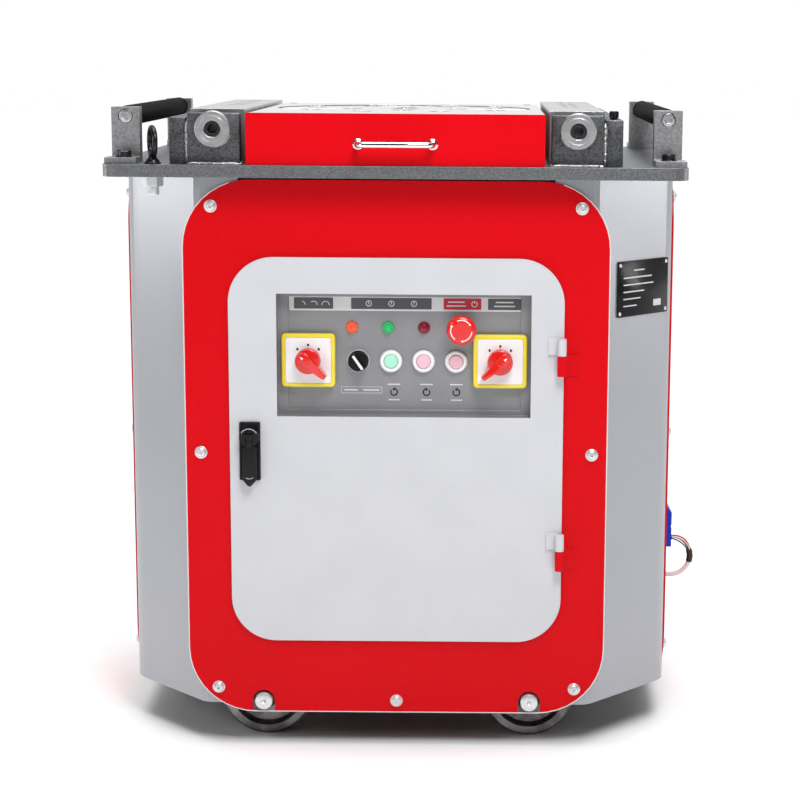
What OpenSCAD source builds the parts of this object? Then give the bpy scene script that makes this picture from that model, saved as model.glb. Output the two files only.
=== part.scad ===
// Rebar bender: a turntable machine on a wheeled cabinet.
// Origin on the floor under the middle of the machine, +Z up, front towards -Y.

/* [Table] */
// Width of the table plate
table_w = 760; // [740:5:780]
// Depth of the table plate
table_d = 640; // [630:5:650]
// Thickness of the table plate
table_t = 16; // [12:1:20]
// Height of the table's upper face above the floor
table_top = 790; // [780:1:800]
// Radius of the table's corners
table_r = 20; // [10:1:30]

/* [Cabinet] */
// Width of the red front and rear panels
panel_w = 562; // [556:1:566]
// Height of the panels' lower edge above the floor
panel_bottom = 48; // [46:1:50]
// Height of the panels' upper edge above the floor
panel_top = 770; // [766:1:772]
// Corner radius of the front and rear panels
panel_r = 90; // [80:1:95]
// Thickness of the cabinet's sheet metal panels
sheet_t = 3; // [2:0.5:3]
// Distance from the middle to the cabinet's side faces
side_x = 374; // [370:1:376]
// Width of a side panel, front to back
side_panel_w = 260; // [240:5:270]

/* [Door] */
// Width of the door
door_w = 444; // [436:1:448]
// Height of the door's lower edge
door_bottom = 149; // [145:1:155]
// Height of the door's upper edge
door_top = 669; // [665:1:675]
// Corner radius of the door
door_r = 60; // [50:1:70]
// Distance from the middle to the hinge axis
hinge_x = 219; // [218.5:0.5:220]

/* [Controls] */
// Width of the recess for the controls
recess_w = 337; // [330:1:340]
// Height of the recess for the controls
recess_h = 164; // [160:1:168]
// Depth of the recess behind the door's face
recess_d = 26; // [22:1:28]
// Side of the square plate under a rotary switch
switch_w = 72; // [66:1:76]
// Diameter of a push button's bezel
bezel_d = 30; // [28:0.5:31]
// Diameter of the stop button's mushroom head
stop_head_d = 40; // [36:1:44]

/* [Turntable] */
// Diameter of the turntable disc
disc_d = 350; // [340:1:352]
// Thickness of the turntable disc
disc_t = 32; // [28:1:34]
// Diameter of the middle pin hole
centre_hole_d = 40; // [36:1:42]
// Diameter of a work pin hole
pin_hole_d = 30; // [26:1:32]
// Pitch circle of the outer ring of pin holes
outer_ring_d = 280; // [270:1:284]
// Pitch circle of the inner ring of pin holes
inner_ring_d = 150; // [144:1:156]
// Width of the box around the turntable
box_w = 386; // [380:1:390]
// Height of that box above the table
box_h = 66; // [62:1:68]

/* [Drive] */
// Module of the last gear pair
slow_module = 5; // [5:0.5:5]
// Teeth on the bull gear
bull_teeth = 56; // [56:1:56]
// Teeth on the pinion that turns the bull gear
slow_pinion_teeth = 14; // [14:1:14]
// Module of the first gear pair
fast_module = 2.5; // [2.5:0.5:2.5]
// Teeth on the countershaft's wheel
fast_wheel_teeth = 64; // [64:1:64]
// Teeth on the input shaft's pinion
fast_pinion_teeth = 16; // [16:1:16]
// Radius at which the belts run on the large pulley
large_pulley_r = 96; // [96:1:96]
// Radius at which the belts run on the motor pulley
motor_pulley_r = 32; // [32:1:32]

/* [Support bars] */
// Width of a support bar
bar_w = 72; // [70:1:72]
// Height of a support bar's upper face above the table
bar_h = 70; // [66:1:71]
// Distance from the middle to a bar's centre line
bar_x = 236; // [236:0.5:237]
// Number of pin holes in a bar
bar_holes = 4; // [2:1:4]
// Distance between two pin holes in a bar
bar_pitch = 80; // [60:5:80]
// Diameter of a pin hole in a bar
bar_hole_d = 25; // [20:1:28]

/* [Rollers] */
// Diameter of a feed roller
roller_d = 27; // [24:1:28]
// Distance from the middle to a roller's axis
roller_x = 355.5; // [354:0.5:357]
// Height of a roller's axis above the table
roller_h = 60; // [58:1:61]

/* [Wheels] */
// Diameter of a wheel
wheel_d = 125; // [120:1:126]
// Width of a wheel's tread
wheel_w = 40; // [34:1:44]
// Distance from the middle to a wheel axle
axle_x = 181; // [178:1:184]

/* [Side cable] */
// Diameter of the side cable
cable_d = 7; // [6:0.5:7]

/* [Hidden] */
$fn = 64;
eps = 0.01;

steel = [0.34, 0.35, 0.36];
bright = [0.78, 0.78, 0.8];
red = [0.8, 0.03, 0.05];
silver = [0.75, 0.76, 0.78];
door_grey = [0.88, 0.9, 0.92];
panel_grey = [0.6, 0.61, 0.63];
black = [0.08, 0.08, 0.09];

// The turntable stands over the middle of the table, a little behind the origin.
mid_y = 12;
panel_y = -272;
door_y = panel_y - 1 - sheet_t;
panel_mid_z = (panel_bottom + panel_top) / 2;

// Cabinet frame
tube = 40;
post_x = 236;
post_y = panel_y + 7 + tube / 2;
ring_z = 150;
ear_t = 8;
axle_r = 10;
axle_z = wheel_d / 2;
wheel_y = -202;
ear_gap = wheel_w / 2 + 5;

// Corner cover outline, from the front flange to the side flange
cover_bottom = 59;
cover_top = 772;
cover_t = 2;
flange_x = 208;
bend_x = 258;
corner_x = 368;
corner_y = -145;
flange_y = panel_y + sheet_t + 1.5;

// Door furniture
hinge_y = door_y - 10;
hinge_zs = [278, 542];
pin_r = 3;
knuckle_r = 6;
latch_x = -195;
latch_z = 406;
latch_w = 28;
latch_h = 88;
latch_pivot_z = latch_z + 24;
spindle_r = 4;

// Control panel, its rows and columns
recess_x = 10;
recess_z = 539;
step_w = 13;
step_h = 6;
ledge_d = 3;
plate_y = door_y + recess_d;
lamp_z = 574;
button_z = 529;
column_pitch = 43.5;
first_column = -51.5;
switch_xs = [-117.7, 137.7];
switch_z = 530.5;
stop_x = 86;
lamp_xs = [-60, -12, 36];

// Turntable and gear train, all on vertical axes
disc_top = table_top + box_h - 1;
box_front = -303;
box_rear = 260;
cover_plate_t = 6;
box_wall = 6;
tray_front_t = 4;
flange_r = 95;
flange_z = disc_top - disc_t - 20;
shaft_r = 35;
case_bottom = 650;
case_top = table_top - table_t;
bull_z = 716;
bull_w = 40;
fast_z = 674;
fast_w = 26;
slow_distance = (bull_teeth + slow_pinion_teeth) * slow_module / 2;
fast_distance = (fast_wheel_teeth + fast_pinion_teeth) * fast_module / 2;
counter_angle = 50;
input_angle = -170;
counter_x = slow_distance * cos(counter_angle);
counter_y = mid_y + slow_distance * sin(counter_angle);
input_x = counter_x + fast_distance * cos(input_angle);
input_y = counter_y + fast_distance * sin(input_angle);
motor_x = -100;
motor_y = -22;
belt_z = 592;
belt_w = 13;
belt_pitch = 17;
belt_t = 8;
belt_gap = 0.5;
groove = 5;
shelf_z = 562;
shelf_t = 10;
run_gap = 0.05;
weld_gap = 0.05;

// Support bars and their screws
screw_r = 10;
screw_z = table_top + 46;
housing_y = -288;
housing_t = 20;
bar_front = -240;
bar_rear = 285;
bar_bore_end = -70;
first_bar_hole = -20;
screw_end = -100;
rail_w = 22;
rail_h = 60;

// Feed rollers
bracket_w = 37;
bracket_t = 20;
bracket_h = 72;
bracket_front = -251;
bracket_rear = 248;
foot_h = 8;
foot_l = 39;
roller_z = table_top + roller_h;
roller_bolt_r = 5;
foot_bolt_r = 6;

panel_face = side_x + sheet_t;

// Side cable: out of its gland, round in one bend and back into the plug
socket_y = 0;
socket_z = 255;
gland_z = 178;
bend_r = 28;
plug_face = panel_face + 15;
bend_centre = plug_face + 2;
cable_route = [[panel_face + 6, socket_y, gland_z], [bend_centre, socket_y, gland_z],
    for (a = [-75 : 15 : 75])
        [bend_centre + bend_r * cos(a), socket_y, gland_z + bend_r + bend_r * sin(a)],
    [bend_centre, socket_y, gland_z + 2 * bend_r], [plug_face, socket_y, gland_z + 2 * bend_r]];

// ---- shapes used more than once ----

// Sideways and front-to-back copies about the machine's middle
module both_x() { children(); mirror([1, 0, 0]) children(); }
module mirror_y() { translate([0, 2 * mid_y, 0]) mirror([0, 1, 0]) children(); }
module both_y() { children(); mirror_y() children(); }

// Rectangle with round corners, centred
module rounded_rect(w, h, r) {
    square([w - 2 * r, h], center = true);
    square([w, h - 2 * r], center = true);
    for (x = [-1, 1], y = [-1, 1]) translate([x * (w / 2 - r), y * (h / 2 - r)]) circle(r);
}

// Upright sheet with its front face at y, lying in the XZ plane about (x, z)
module upright(x, y, z, t) {
    translate([x, y + t, z]) rotate([90, 0, 0]) linear_extrude(t) children();
}

// Block between two corners
module block(low, high) { translate(low) cube(high - low); }

// Round bar along Y, from y0 to y1
module bar_y(x, z, r, y0, y1) {
    translate([x, y0, z]) rotate([-90, 0, 0]) cylinder(r = r, h = y1 - y0);
}

// Domed flange bolt head on a short shank, pointing along +Z
module dome_bolt(shank) {
    translate([0, 0, -shank]) cylinder(r = 4, h = shank + eps);
    cylinder(r = 8.5, h = 1.6);
    translate([0, 0, 1.6]) cylinder(r1 = 7, r2 = 6, h = 2);
    translate([0, 0, 3.6]) cylinder(r1 = 6, r2 = 3, h = 1.4);
}

// Hexagon head bolt with a washer, pointing along +Z, its shank in the table
module hex_bolt(r, shank) {
    translate([0, 0, -shank]) cylinder(r = r, h = shank + eps);
    cylinder(r = 2.1 * r, h = 2);
    translate([0, 0, 2]) cylinder(r = 1.8 * r, h = 1.3 * r, $fn = 6);
}

// Involute of an angle, in degrees
function inv(a) = tan(a) * 180 / PI - a;
// Half the angle that a tooth fills at radius q
function half_tooth(q, teeth, m, play) =
    let (pitch_r = teeth * m / 2, base_r = pitch_r * cos(20), s = max(q, base_r + eps))
    (PI * m / 2 - play) / (2 * pitch_r) * 180 / PI + inv(20) - inv(acos(base_r / s));
// Outline of a spur gear with one tooth on the +X axis
function gear_outline(teeth, m, play) =
    let (pitch_r = teeth * m / 2, root_r = pitch_r - 1.2 * m, tip_r = pitch_r + 0.9 * m,
         rise = [root_r, max(root_r + 0.4 * m, pitch_r * cos(20)), pitch_r, tip_r])
    [for (i = [0 : teeth - 1], side = [-1, 1], k = [0 : 3])
        let (q = rise[side < 0 ? k : 3 - k], a = 360 * i / teeth
            + side * half_tooth(q, teeth, m, play))
        [q * cos(a), q * sin(a)]];
module gear(teeth, m, w) { linear_extrude(w) polygon(gear_outline(teeth, m, 0.3)); }

// ---- cabinet ----

// Frame members, butted with a hair's gap at each weld: posts, rings, wheel ears and motor shelf
module base_frame() {
    half = tube / 2;
    inner = half + weld_gap;
    color(steel) {
        both_x() both_y() {
            block([post_x - half, post_y - half, ring_z - half],
                  [post_x + half, post_y + half, case_top]);
            for (s = [-1, 1])
                translate([axle_x, wheel_y + s * (ear_gap + ear_t / 2), 0]) wheel_ear();
        }
        for (z = [ring_z, case_top - half]) both_y()
            block([-post_x + inner, post_y - half, z - half],
                  [post_x - inner, post_y + half, z + half]);
        for (z = [ring_z, case_top - half, shelf_z - 15]) both_x()
            block([post_x - half, post_y + inner, z - 15],
                  [post_x + half, 2 * mid_y - post_y - inner, z + 15]);
        for (y = [-160, 95])
            block([-post_x + inner, y, shelf_z - 30], [post_x - inner, y + 30, shelf_z]);
        motor_shelf();
    }
}

// Plate that carries the motor, with its spigot hole and four bolt holes
module motor_shelf() {
    bolt_circle_r = 82;
    difference() {
        block([-post_x, -160, shelf_z + weld_gap], [0, 125, shelf_z + shelf_t]);
        translate([motor_x, motor_y, shelf_z - 1]) {
            cylinder(r = 50, h = shelf_t + 2);
            for (a = [45 : 90 : 315]) rotate(a) translate([bolt_circle_r, 0, 0])
                cylinder(r = 6, h = shelf_t + 2);
        }
    }
}

// One plate that hangs from the ring beside a wheel
module wheel_ear() {
    difference() {
        union() {
            bar_y(0, axle_z, 20, -ear_t / 2, ear_t / 2);
            block([-20, -ear_t / 2, axle_z], [20, ear_t / 2, ring_z - tube / 2 - weld_gap]);
        }
        bar_y(0, axle_z, axle_r + run_gap, -ear_t, ear_t);
    }
}

// Thick steel plate that carries everything on top
module table_plate() {
    color(steel) difference() {
        translate([0, mid_y, table_top - table_t])
            linear_extrude(table_t) rounded_rect(table_w, table_d, table_r);
        translate([0, mid_y, table_top - 40]) cylinder(r = 62, h = 60);
        for (p = eye_places) translate([p[0], p[1], table_top - 40]) cylinder(r = 8, h = 60);
        for (p = foot_bolt_places)
            translate([p[0], p[1], table_top - 40]) cylinder(r = foot_bolt_r + 0.2, h = 60);
    }
}
eye_places = [[-316, -283], [316, 307]];
foot_bolt_places = [for (x = [-1, 1], y = [bracket_front - 21, bracket_rear + bracket_t + 21])
    [x * roller_x, y]];

// Outline of the red front and rear panels, with the axle notches
module panel_outline() {
    difference() {
        rounded_rect(panel_w, panel_top - panel_bottom, panel_r);
        for (x = [-axle_x, axle_x]) translate([x, axle_z - panel_mid_z]) {
            circle(r = 15);
            translate([-15, -30]) square([30, 30]);
        }
        for (p = panel_bolt_places) translate([p[0], p[1] - panel_mid_z]) circle(r = 4.2);
    }
}
panel_bolt_places = [[-243.5, 735], [243.5, 735], [-261, 407], [261, 407],
    [-242, 82], [242, 82], [0, 64]];

module front_panel() {
    color(red) upright(0, panel_y, panel_mid_z, sheet_t) difference() {
        panel_outline();
        translate([0, 410 - panel_mid_z]) rounded_rect(410, 490, 45);
    }
}

// Rear panel with two banks of cooling slots
module rear_panel() {
    color(red) mirror_y() upright(0, panel_y, panel_mid_z, sheet_t) difference() {
        panel_outline();
        for (x = [-110, 110], i = [0 : 5])
            translate([x, 120 - i * 24]) rounded_rect(120, 8, 3.9);
    }
}

side_bolt_zs = [740, 408, 100];
side_bolt_y = -95;

module side_panels() {
    color(red) both_x() translate([side_x, mid_y, 415]) rotate([90, 0, 90])
        linear_extrude(sheet_t) difference() {
            rounded_rect(side_panel_w, 700, 70);
            for (y = [-1, 1], z = side_bolt_zs)
                translate([y * (mid_y - side_bolt_y), z - 415]) circle(r = 4.2);
        }
}

// Centre line of a corner cover in plan, with its two bends rounded
cover_line = [[flange_x, flange_y], [bend_x - 8, flange_y], [bend_x, flange_y + 1],
    [bend_x + 8, flange_y + 6.5], [corner_x - 12, corner_y - 14], [corner_x - 5, corner_y - 5.5],
    [corner_x + 0.5, corner_y + 4], [corner_x + 4, corner_y + 14],
    [side_x - cover_t / 2, corner_y + 25], [side_x - cover_t / 2, -20]];

// Direction at each point of a line, and the line moved sideways by s
function unit(v) = v / norm(v);
function heading(p, i) = unit(p[min(i + 1, len(p) - 1)] - p[max(i - 1, 0)]);
function beside(p, s) = [for (i = [0 : len(p) - 1])
    p[i] + s * [-heading(p, i)[1], heading(p, i)[0]]];
function backwards(p) = [for (i = [len(p) - 1 : -1 : 0]) p[i]];

// Four bent sheets, one at each corner
module corner_covers() {
    color(silver) both_x() both_y() difference() {
        translate([0, 0, cover_bottom]) linear_extrude(cover_top - cover_bottom)
            polygon(concat(beside(cover_line, cover_t / 2),
                backwards(beside(cover_line, -cover_t / 2))));
        for (p = panel_bolt_places) if (p[0] > 0) bar_y(p[0], p[1], 4.2, -280, -240);
        for (z = side_bolt_zs) translate([side_x - 8, side_bolt_y, z])
            rotate([0, 90, 0]) cylinder(r = 4.2, h = 12);
    }
}

module panel_bolts() {
    color(bright) {
        both_y() for (p = panel_bolt_places)
            translate([p[0], panel_y, p[1]]) rotate([90, 0, 0]) dome_bolt(sheet_t);
        both_x() both_y() for (z = side_bolt_zs)
            translate([side_x + sheet_t, side_bolt_y, z]) rotate([0, 90, 0]) dome_bolt(sheet_t);
    }
}

// Black plate on the front right corner, held by four rivets
plate_w = 111;
plate_h = 75;
module rating_plate() {
    slope = atan2(corner_y - 14 - flange_y - 6.5, corner_x - 12 - bend_x - 8);
    color(black) translate([329, -190.2, 624]) rotate([0, 0, slope])
        translate([0, -cover_t / 2 - 1.2, 0]) {
            cube([plate_w, 1, plate_h], center = true);
            for (x = [-1, 1], z = [-1, 1])
                translate([x * (plate_w / 2 - 5), -0.5, z * (plate_h / 2 - 5)])
                    rotate([90, 0, 0]) cylinder(r1 = 2.2, r2 = 1.2, h = 1.2);
        }
}

// ---- door ----

module door() {
    color(door_grey) difference() {
        union() {
            upright(0, door_y, 409, sheet_t) rounded_rect(door_w, door_top - door_bottom, door_r);
            upright(0, door_y + sheet_t - eps, 409, 15) difference() {
                rounded_rect(400, 476, 40);
                rounded_rect(396, 472, 38);
            }
            for (z = hinge_zs) hinge_knuckle(z);
        }
        translate([recess_x - recess_w / 2, door_y - 1, recess_z - recess_h / 2])
            cube([recess_w, sheet_t + 1.5, recess_h]);
        bar_y(latch_x, latch_pivot_z, 8.3, door_y - 5, door_y + 25);
        for (z = [latch_z - 36, latch_z + 38]) bar_y(latch_x, z, 2.6, door_y - 5, door_y + 10);
    }
}

// Upper half of a hinge, welded to the door
module hinge_knuckle(z) {
    difference() {
        union() {
            translate([hinge_x, hinge_y, z + 0.3]) cylinder(r = knuckle_r, h = 22);
            block([hinge_x - 18, door_y - 2.5, z + 0.3], [hinge_x, door_y + eps, z + 22.3]);
            block([hinge_x - 5, hinge_y, z + 0.3], [hinge_x, door_y, z + 22.3]);
        }
        translate([hinge_x, hinge_y, z - 1]) cylinder(r = pin_r + run_gap, h = 25);
    }
}

// Lower halves of the hinges, welded to the panel, with their pins
module hinge_brackets() {
    color(red) for (z = hinge_zs) {
        translate([hinge_x, hinge_y, z - 27]) cylinder(r = knuckle_r, h = 27);
        translate([hinge_x, hinge_y, z - 1]) cylinder(r = pin_r, h = 25);
        block([hinge_x + 3.8, hinge_y - 1, z - 27], [hinge_x + 6.8, panel_y, z]);
        block([hinge_x + 3.8, panel_y - 2.5, z - 27], [hinge_x + 22, panel_y, z]);
    }
}

// Flat case on the door's face that carries the latch
module latch_case() {
    color(black) difference() {
        union() {
            upright(latch_x, door_y - 4, latch_z, 4) rounded_rect(latch_w, latch_h, 6);
            bar_y(latch_x, latch_pivot_z, 8.2, door_y - eps, door_y + 16);
        }
        bar_y(latch_x, latch_pivot_z, spindle_r + run_gap, door_y - 6, door_y + 18);
        for (z = [latch_z - 36, latch_z + 38]) bar_y(latch_x, z, 2.5, door_y - 5, door_y + 1);
    }
}

// Spindle that turns in the case, with the tongue behind the door and the fork in front
latch_y = door_y - 4.3;
module latch_spindle() {
    color(steel) {
        bar_y(latch_x, latch_pivot_z, spindle_r, latch_y - 2, door_y + 21);
        block([latch_x - 2, door_y + 18.2, latch_pivot_z - 19],
              [latch_x + 9, door_y + 20.8, latch_pivot_z + 7]);
        difference() {
            bar_y(latch_x, latch_pivot_z, 13, latch_y - 10, latch_y);
            block([latch_x - 5.2, latch_y - 11, latch_pivot_z - 14],
                  [latch_x + 5.2, latch_y - 2, latch_pivot_z + 14]);
            translate([latch_x - 14, latch_y - 6, latch_pivot_z])
                rotate([0, 90, 0]) cylinder(r = 2, h = 28);
        }
        translate([latch_x - 12, latch_y - 6, latch_pivot_z])
            rotate([0, 90, 0]) cylinder(r = 2, h = 24);
    }
}

// Handle that lifts out of line on the spindle's cross pin
module latch_handle() {
    color(black) difference() {
        union() {
            translate([latch_x - 4.9, latch_y - 6, latch_pivot_z])
                rotate([0, 90, 0]) cylinder(r = 3.8, h = 9.8);
            block([latch_x - 4.9, latch_y - 9.6, latch_pivot_z - 20],
                  [latch_x + 4.9, latch_y - 2.6, latch_pivot_z]);
            block([latch_x - 10, latch_y - 9.6, latch_pivot_z - 54],
                  [latch_x + 10, latch_y - 2.6, latch_pivot_z - 15]);
            translate([latch_x, latch_y - 2.6, latch_pivot_z - 54]) rotate([90, 0, 0])
                linear_extrude(7) polygon([[-10, 0.1], [10, 0.1], [3, -12], [-3, -12]]);
        }
        translate([latch_x - 14, latch_y - 6, latch_pivot_z])
            rotate([0, 90, 0]) cylinder(r = 2 + run_gap, h = 28);
    }
}

// Stepped pan behind the door's cut-out, with the holes for the controls
module control_panel() {
    lip = 10;
    skin = door_y + sheet_t + 0.1;
    ledge_y = plate_y - ledge_d;
    color(panel_grey) difference() {
        union() {
            upright(recess_x, skin, recess_z, 2)
                square([recess_w + 2 * lip, recess_h + 2 * lip], center = true);
            upright(recess_x, skin, recess_z, ledge_y + 2 - skin)
                square([recess_w + 4, recess_h + 4], center = true);
            upright(recess_x, ledge_y, recess_z, ledge_d + 2)
                square([recess_w - 2 * step_w + 4, recess_h - 2 * step_h + 4], center = true);
        }
        upright(recess_x, door_y, recess_z, ledge_y - door_y)
            square([recess_w, recess_h], center = true);
        upright(recess_x, door_y, recess_z, recess_d)
            square([recess_w - 2 * step_w, recess_h - 2 * step_h], center = true);
        for (x = switch_xs) bar_y(x, switch_z, 11.2, plate_y - 5, plate_y + 10);
        for (i = [0 : 3])
            bar_y(first_column + i * column_pitch, button_z, 11.2, plate_y - 5, plate_y + 10);
        bar_y(stop_x, lamp_z, 11.2, plate_y - 5, plate_y + 10);
        for (x = lamp_xs) bar_y(x, lamp_z, 6.2, plate_y - 5, plate_y + 10);
    }
}

module indicator_lamps() {
    for (i = [0 : 2]) color([[1, 0.35, 0.2], [0.1, 0.7, 0.3], [0.75, 0.1, 0.1]][i]) {
        bar_y(lamp_xs[i], lamp_z, 6, plate_y - 1, plate_y + 22);
        bar_y(lamp_xs[i], lamp_z, 8, plate_y - 3, plate_y - 0.1);
        translate([lamp_xs[i], plate_y - 3, lamp_z]) rotate([90, 0, 0])
            cylinder(r1 = 7, r2 = 4.5, h = 6);
    }
}

// Sleeve that a button slides in, with its contact block behind the panel
module button_sleeve(x, z, proud = 6) {
    difference() {
        union() {
            bar_y(x, z, bezel_d / 2, plate_y - proud, plate_y - 0.1);
            bar_y(x, z, 11, plate_y - 1, plate_y + 10);
            block([x - 14, plate_y + 10, z - 19], [x + 14, plate_y + 46, z + 19]);
        }
        bar_y(x, z, 9.5, plate_y - proud - 1, plate_y + 14);
    }
}

module control_bezels() {
    color("white") for (i = [1 : 3])
        button_sleeve(first_column + i * column_pitch, button_z);
    color(black) button_sleeve(first_column, button_z);
}

// Round cap that stands a little out of its sleeve
module push_cap(i) {
    bar_y(first_column + i * column_pitch, button_z, 9.4, plate_y - 6.5, plate_y + 8);
}
module start_button() { color([0.6, 0.95, 0.8]) push_cap(1); }
module forward_button() { color([1, 0.7, 0.8]) push_cap(2); }
module reverse_button() { color([1, 0.7, 0.8]) push_cap(3); }

module selector_knob() {
    color(black) {
        bar_y(first_column, button_z, 9.4, plate_y - 8, plate_y + 10);
        bar_y(first_column, button_z, 13.5, plate_y - 12, plate_y - 6.3);
        translate([first_column, plate_y - 12 + eps, button_z]) rotate([90, -45, 0])
            linear_extrude(9) rounded_rect(7, 26, 3);
    }
}

module stop_button_base() {
    color(black) button_sleeve(stop_x, lamp_z, 12);
}

module stop_button_head() {
    color(red) {
        bar_y(stop_x, lamp_z, 9.4, plate_y - 20, plate_y + 6);
        bar_y(stop_x, lamp_z, stop_head_d / 2, plate_y - 28, plate_y - 19);
        translate([stop_x, plate_y - 28 + eps, lamp_z]) rotate([90, 0, 0])
            cylinder(r1 = stop_head_d / 2, r2 = stop_head_d / 2 - 4, h = 4);
    }
}

// Square fronts of the rotary switches, with their contact stacks behind the panel
module switch_plates() {
    color([0.95, 0.85, 0.2]) for (x = switch_xs) difference() {
        union() {
            upright(x, plate_y - ledge_d - 10, switch_z, 9.9) rounded_rect(switch_w, switch_w, 6);
            bar_y(x, switch_z, 11, plate_y - 4, plate_y + 5);
            upright(x, plate_y + 4, switch_z, 50) square(44, center = true);
        }
        bar_y(x, switch_z, 4 + run_gap, plate_y - 14, plate_y + 20);
    }
}

module switch_knob(x, lean) {
    color(red) {
        bar_y(x, switch_z, 4, plate_y - 17, plate_y + 18);
        bar_y(x, switch_z, 17, plate_y - 27, plate_y - 13.3);
        translate([x, plate_y - 17, switch_z]) rotate([90, lean, 0])
            linear_extrude(20) polygon([[-13, 8], [13, 8], [4, -32], [-4, -32]]);
    }
}
module left_switch_knob() { switch_knob(switch_xs[0], -48); }
module right_switch_knob() { switch_knob(switch_xs[1], 48); }

// Contactors on a plate inside the cabinet
module switchgear() {
    back = post_x - tube / 2 - 4;
    color(panel_grey) block([back, -224, 190], [back + 4, 60, 430]);
    color(black) for (i = [0 : 2])
        block([back - 70, -180 + i * 78, 320], [back - 0.1, -116 + i * 78, 400]);
    color([0.85, 0.85, 0.85]) block([back - 60, -180, 215], [back - 0.1, 40, 265]);
}

// ---- cover box and turntable ----

// Two side walls and a rear wall round the turntable
module cover_frame() {
    color(red) difference() {
        block([-box_w / 2, box_front + tray_front_t + 0.5, table_top],
              [box_w / 2, box_rear, table_top + box_h - cover_plate_t]);
        block([-box_w / 2 + box_wall, box_front - 1, table_top - 1],
              [box_w / 2 - box_wall, box_rear - box_wall, disc_top + 9]);
    }
}

module cover_plate() {
    color(bright) difference() {
        block([-box_w / 2, box_front + tray_front_t + 0.5, table_top + box_h - cover_plate_t],
              [box_w / 2, box_rear, table_top + box_h]);
        translate([0, mid_y, table_top]) cylinder(r = disc_d / 2 + 5, h = 100, $fn = 96);
        for (x = [-1, 1], y = [-280, 240])
            translate([x * (box_w / 2 - 14), y, table_top]) cylinder(r = 3.3, h = 100);
    }
}

// Pull-out tray that catches mill scale, cut away round the shaft
module scale_tray() {
    color(red) difference() {
        union() {
            block([-box_w / 2, box_front, table_top + 0.5],
                  [box_w / 2, box_front + tray_front_t, table_top + box_h + 1]);
            block([-183, box_front + 3, table_top + 0.5], [183, 240, table_top + 24]);
        }
        block([-181, box_front + 4, table_top + 2.5], [181, 238, table_top + 30]);
        block([-102, -112, table_top - 1], [102, 250, table_top + 30]);
        for (x = [-48, 48]) bar_y(x, tray_handle_z, 3, box_front - 1, box_front + 5);
    }
    color(red) {
        for (s = [-1, 1]) block([s * 103.5 - 1.5, -115, table_top + 0.5],
                                [s * 103.5 + 1.5, 240, table_top + 24]);
        block([-103, -115, table_top + 0.5], [103, -112, table_top + 24]);
    }
}
tray_handle_z = 818;

// Bent round bar on two bosses
module tray_handle() {
    reach = 22;
    turn = 8;
    color(bright) {
        both_x() {
            bar_y(48, tray_handle_z, 7.5, box_front - 4, box_front);
            bar_y(48, tray_handle_z, 2.9, box_front - 1, box_front + 4);
            bar_y(48, tray_handle_z, 4, box_front - reach + turn, box_front - 3);
            translate([48 - turn, box_front - reach + turn, tray_handle_z]) rotate([0, 0, -90])
                rotate_extrude(angle = 90) translate([turn, 0]) circle(r = 4, $fn = 24);
        }
        translate([-48 + turn - eps, box_front - reach, tray_handle_z]) rotate([0, 90, 0])
            cylinder(r = 4, h = 96 - 2 * turn + 2 * eps, $fn = 24);
    }
}

// Disc with a middle hole and two rings of pin holes
module turntable_disc() {
    color(bright) difference() {
        translate([0, mid_y, disc_top - disc_t]) cylinder(r = disc_d / 2, h = disc_t, $fn = 96);
        translate([0, mid_y, table_top]) {
            cylinder(r = centre_hole_d / 2, h = 90);
            for (i = [0 : 7]) rotate(i * 45 + 22.5) translate([outer_ring_d / 2, 0, 0])
                cylinder(r = pin_hole_d / 2, h = 90);
            for (i = [0 : 3]) rotate(i * 90) translate([inner_ring_d / 2, 0, 20])
                cylinder(r = pin_hole_d / 2, h = 90);
        }
    }
}

// Flanged shaft that carries the disc, stepped down to its bearings
module main_shaft() {
    color(steel) translate([0, mid_y, 0]) difference() {
        union() {
            translate([0, 0, flange_z]) cylinder(r = flange_r, h = 20);
            translate([0, 0, case_bottom + 10]) cylinder(r = shaft_r, h = flange_z - case_bottom - 9);
        }
        translate([0, 0, flange_z - 40]) cylinder(r = centre_hole_d / 2 + 1, h = 61);
        for (i = [0 : 3]) rotate(i * 90) translate([inner_ring_d / 2, 0, flange_z - 1])
            cylinder(r = pin_hole_d / 2 + 1, h = 30);
    }
}

module bull_gear() {
    phase = counter_angle;
    color(steel) translate([0, mid_y, bull_z]) rotate(phase) difference() {
        union() {
            gear(bull_teeth, slow_module, bull_w);
            cylinder(r = 55, h = bull_w + 4);
        }
        translate([0, 0, -1]) cylinder(r = shaft_r, h = bull_w + 10);
        for (i = [0 : 5]) rotate(i * 60) translate([90, 0, -1]) cylinder(r = 22, h = bull_w + 2);
    }
}

case_low = [-162, -146];
case_high = [206, 240];
// Open-topped case that hangs from the table: a floor with bosses and four plates welded to it
module gearbox_case() {
    wall = 8;
    inner = wall + weld_gap;
    floor_top = case_bottom + wall;
    color([0.3, 0.4, 0.35]) {
        difference() {
            union() {
                block([case_low[0], case_low[1], case_bottom],
                      [case_high[0], case_high[1], floor_top]);
                translate([0, mid_y, case_bottom]) cylinder(r = 62, h = 26);
                translate([counter_x, counter_y, case_bottom]) cylinder(r = 26, h = 20);
                translate([input_x, input_y, case_bottom - 10]) cylinder(r = 28, h = 30);
            }
            translate([0, mid_y, floor_top]) cylinder(r = 55, h = 30);
            translate([counter_x, counter_y, case_bottom + 6]) cylinder(r = 20, h = 30);
            translate([input_x, input_y, case_bottom - 11]) cylinder(r = 20, h = 50);
        }
        for (x = [case_low[0], case_high[0] - wall])
            block([x, case_low[1], floor_top + weld_gap], [x + wall, case_high[1], case_top]);
        for (y = [case_low[1], case_high[1] - wall])
            block([case_low[0] + inner, y, floor_top + weld_gap],
                  [case_high[0] - inner, y + wall, case_top]);
    }
}

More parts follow.
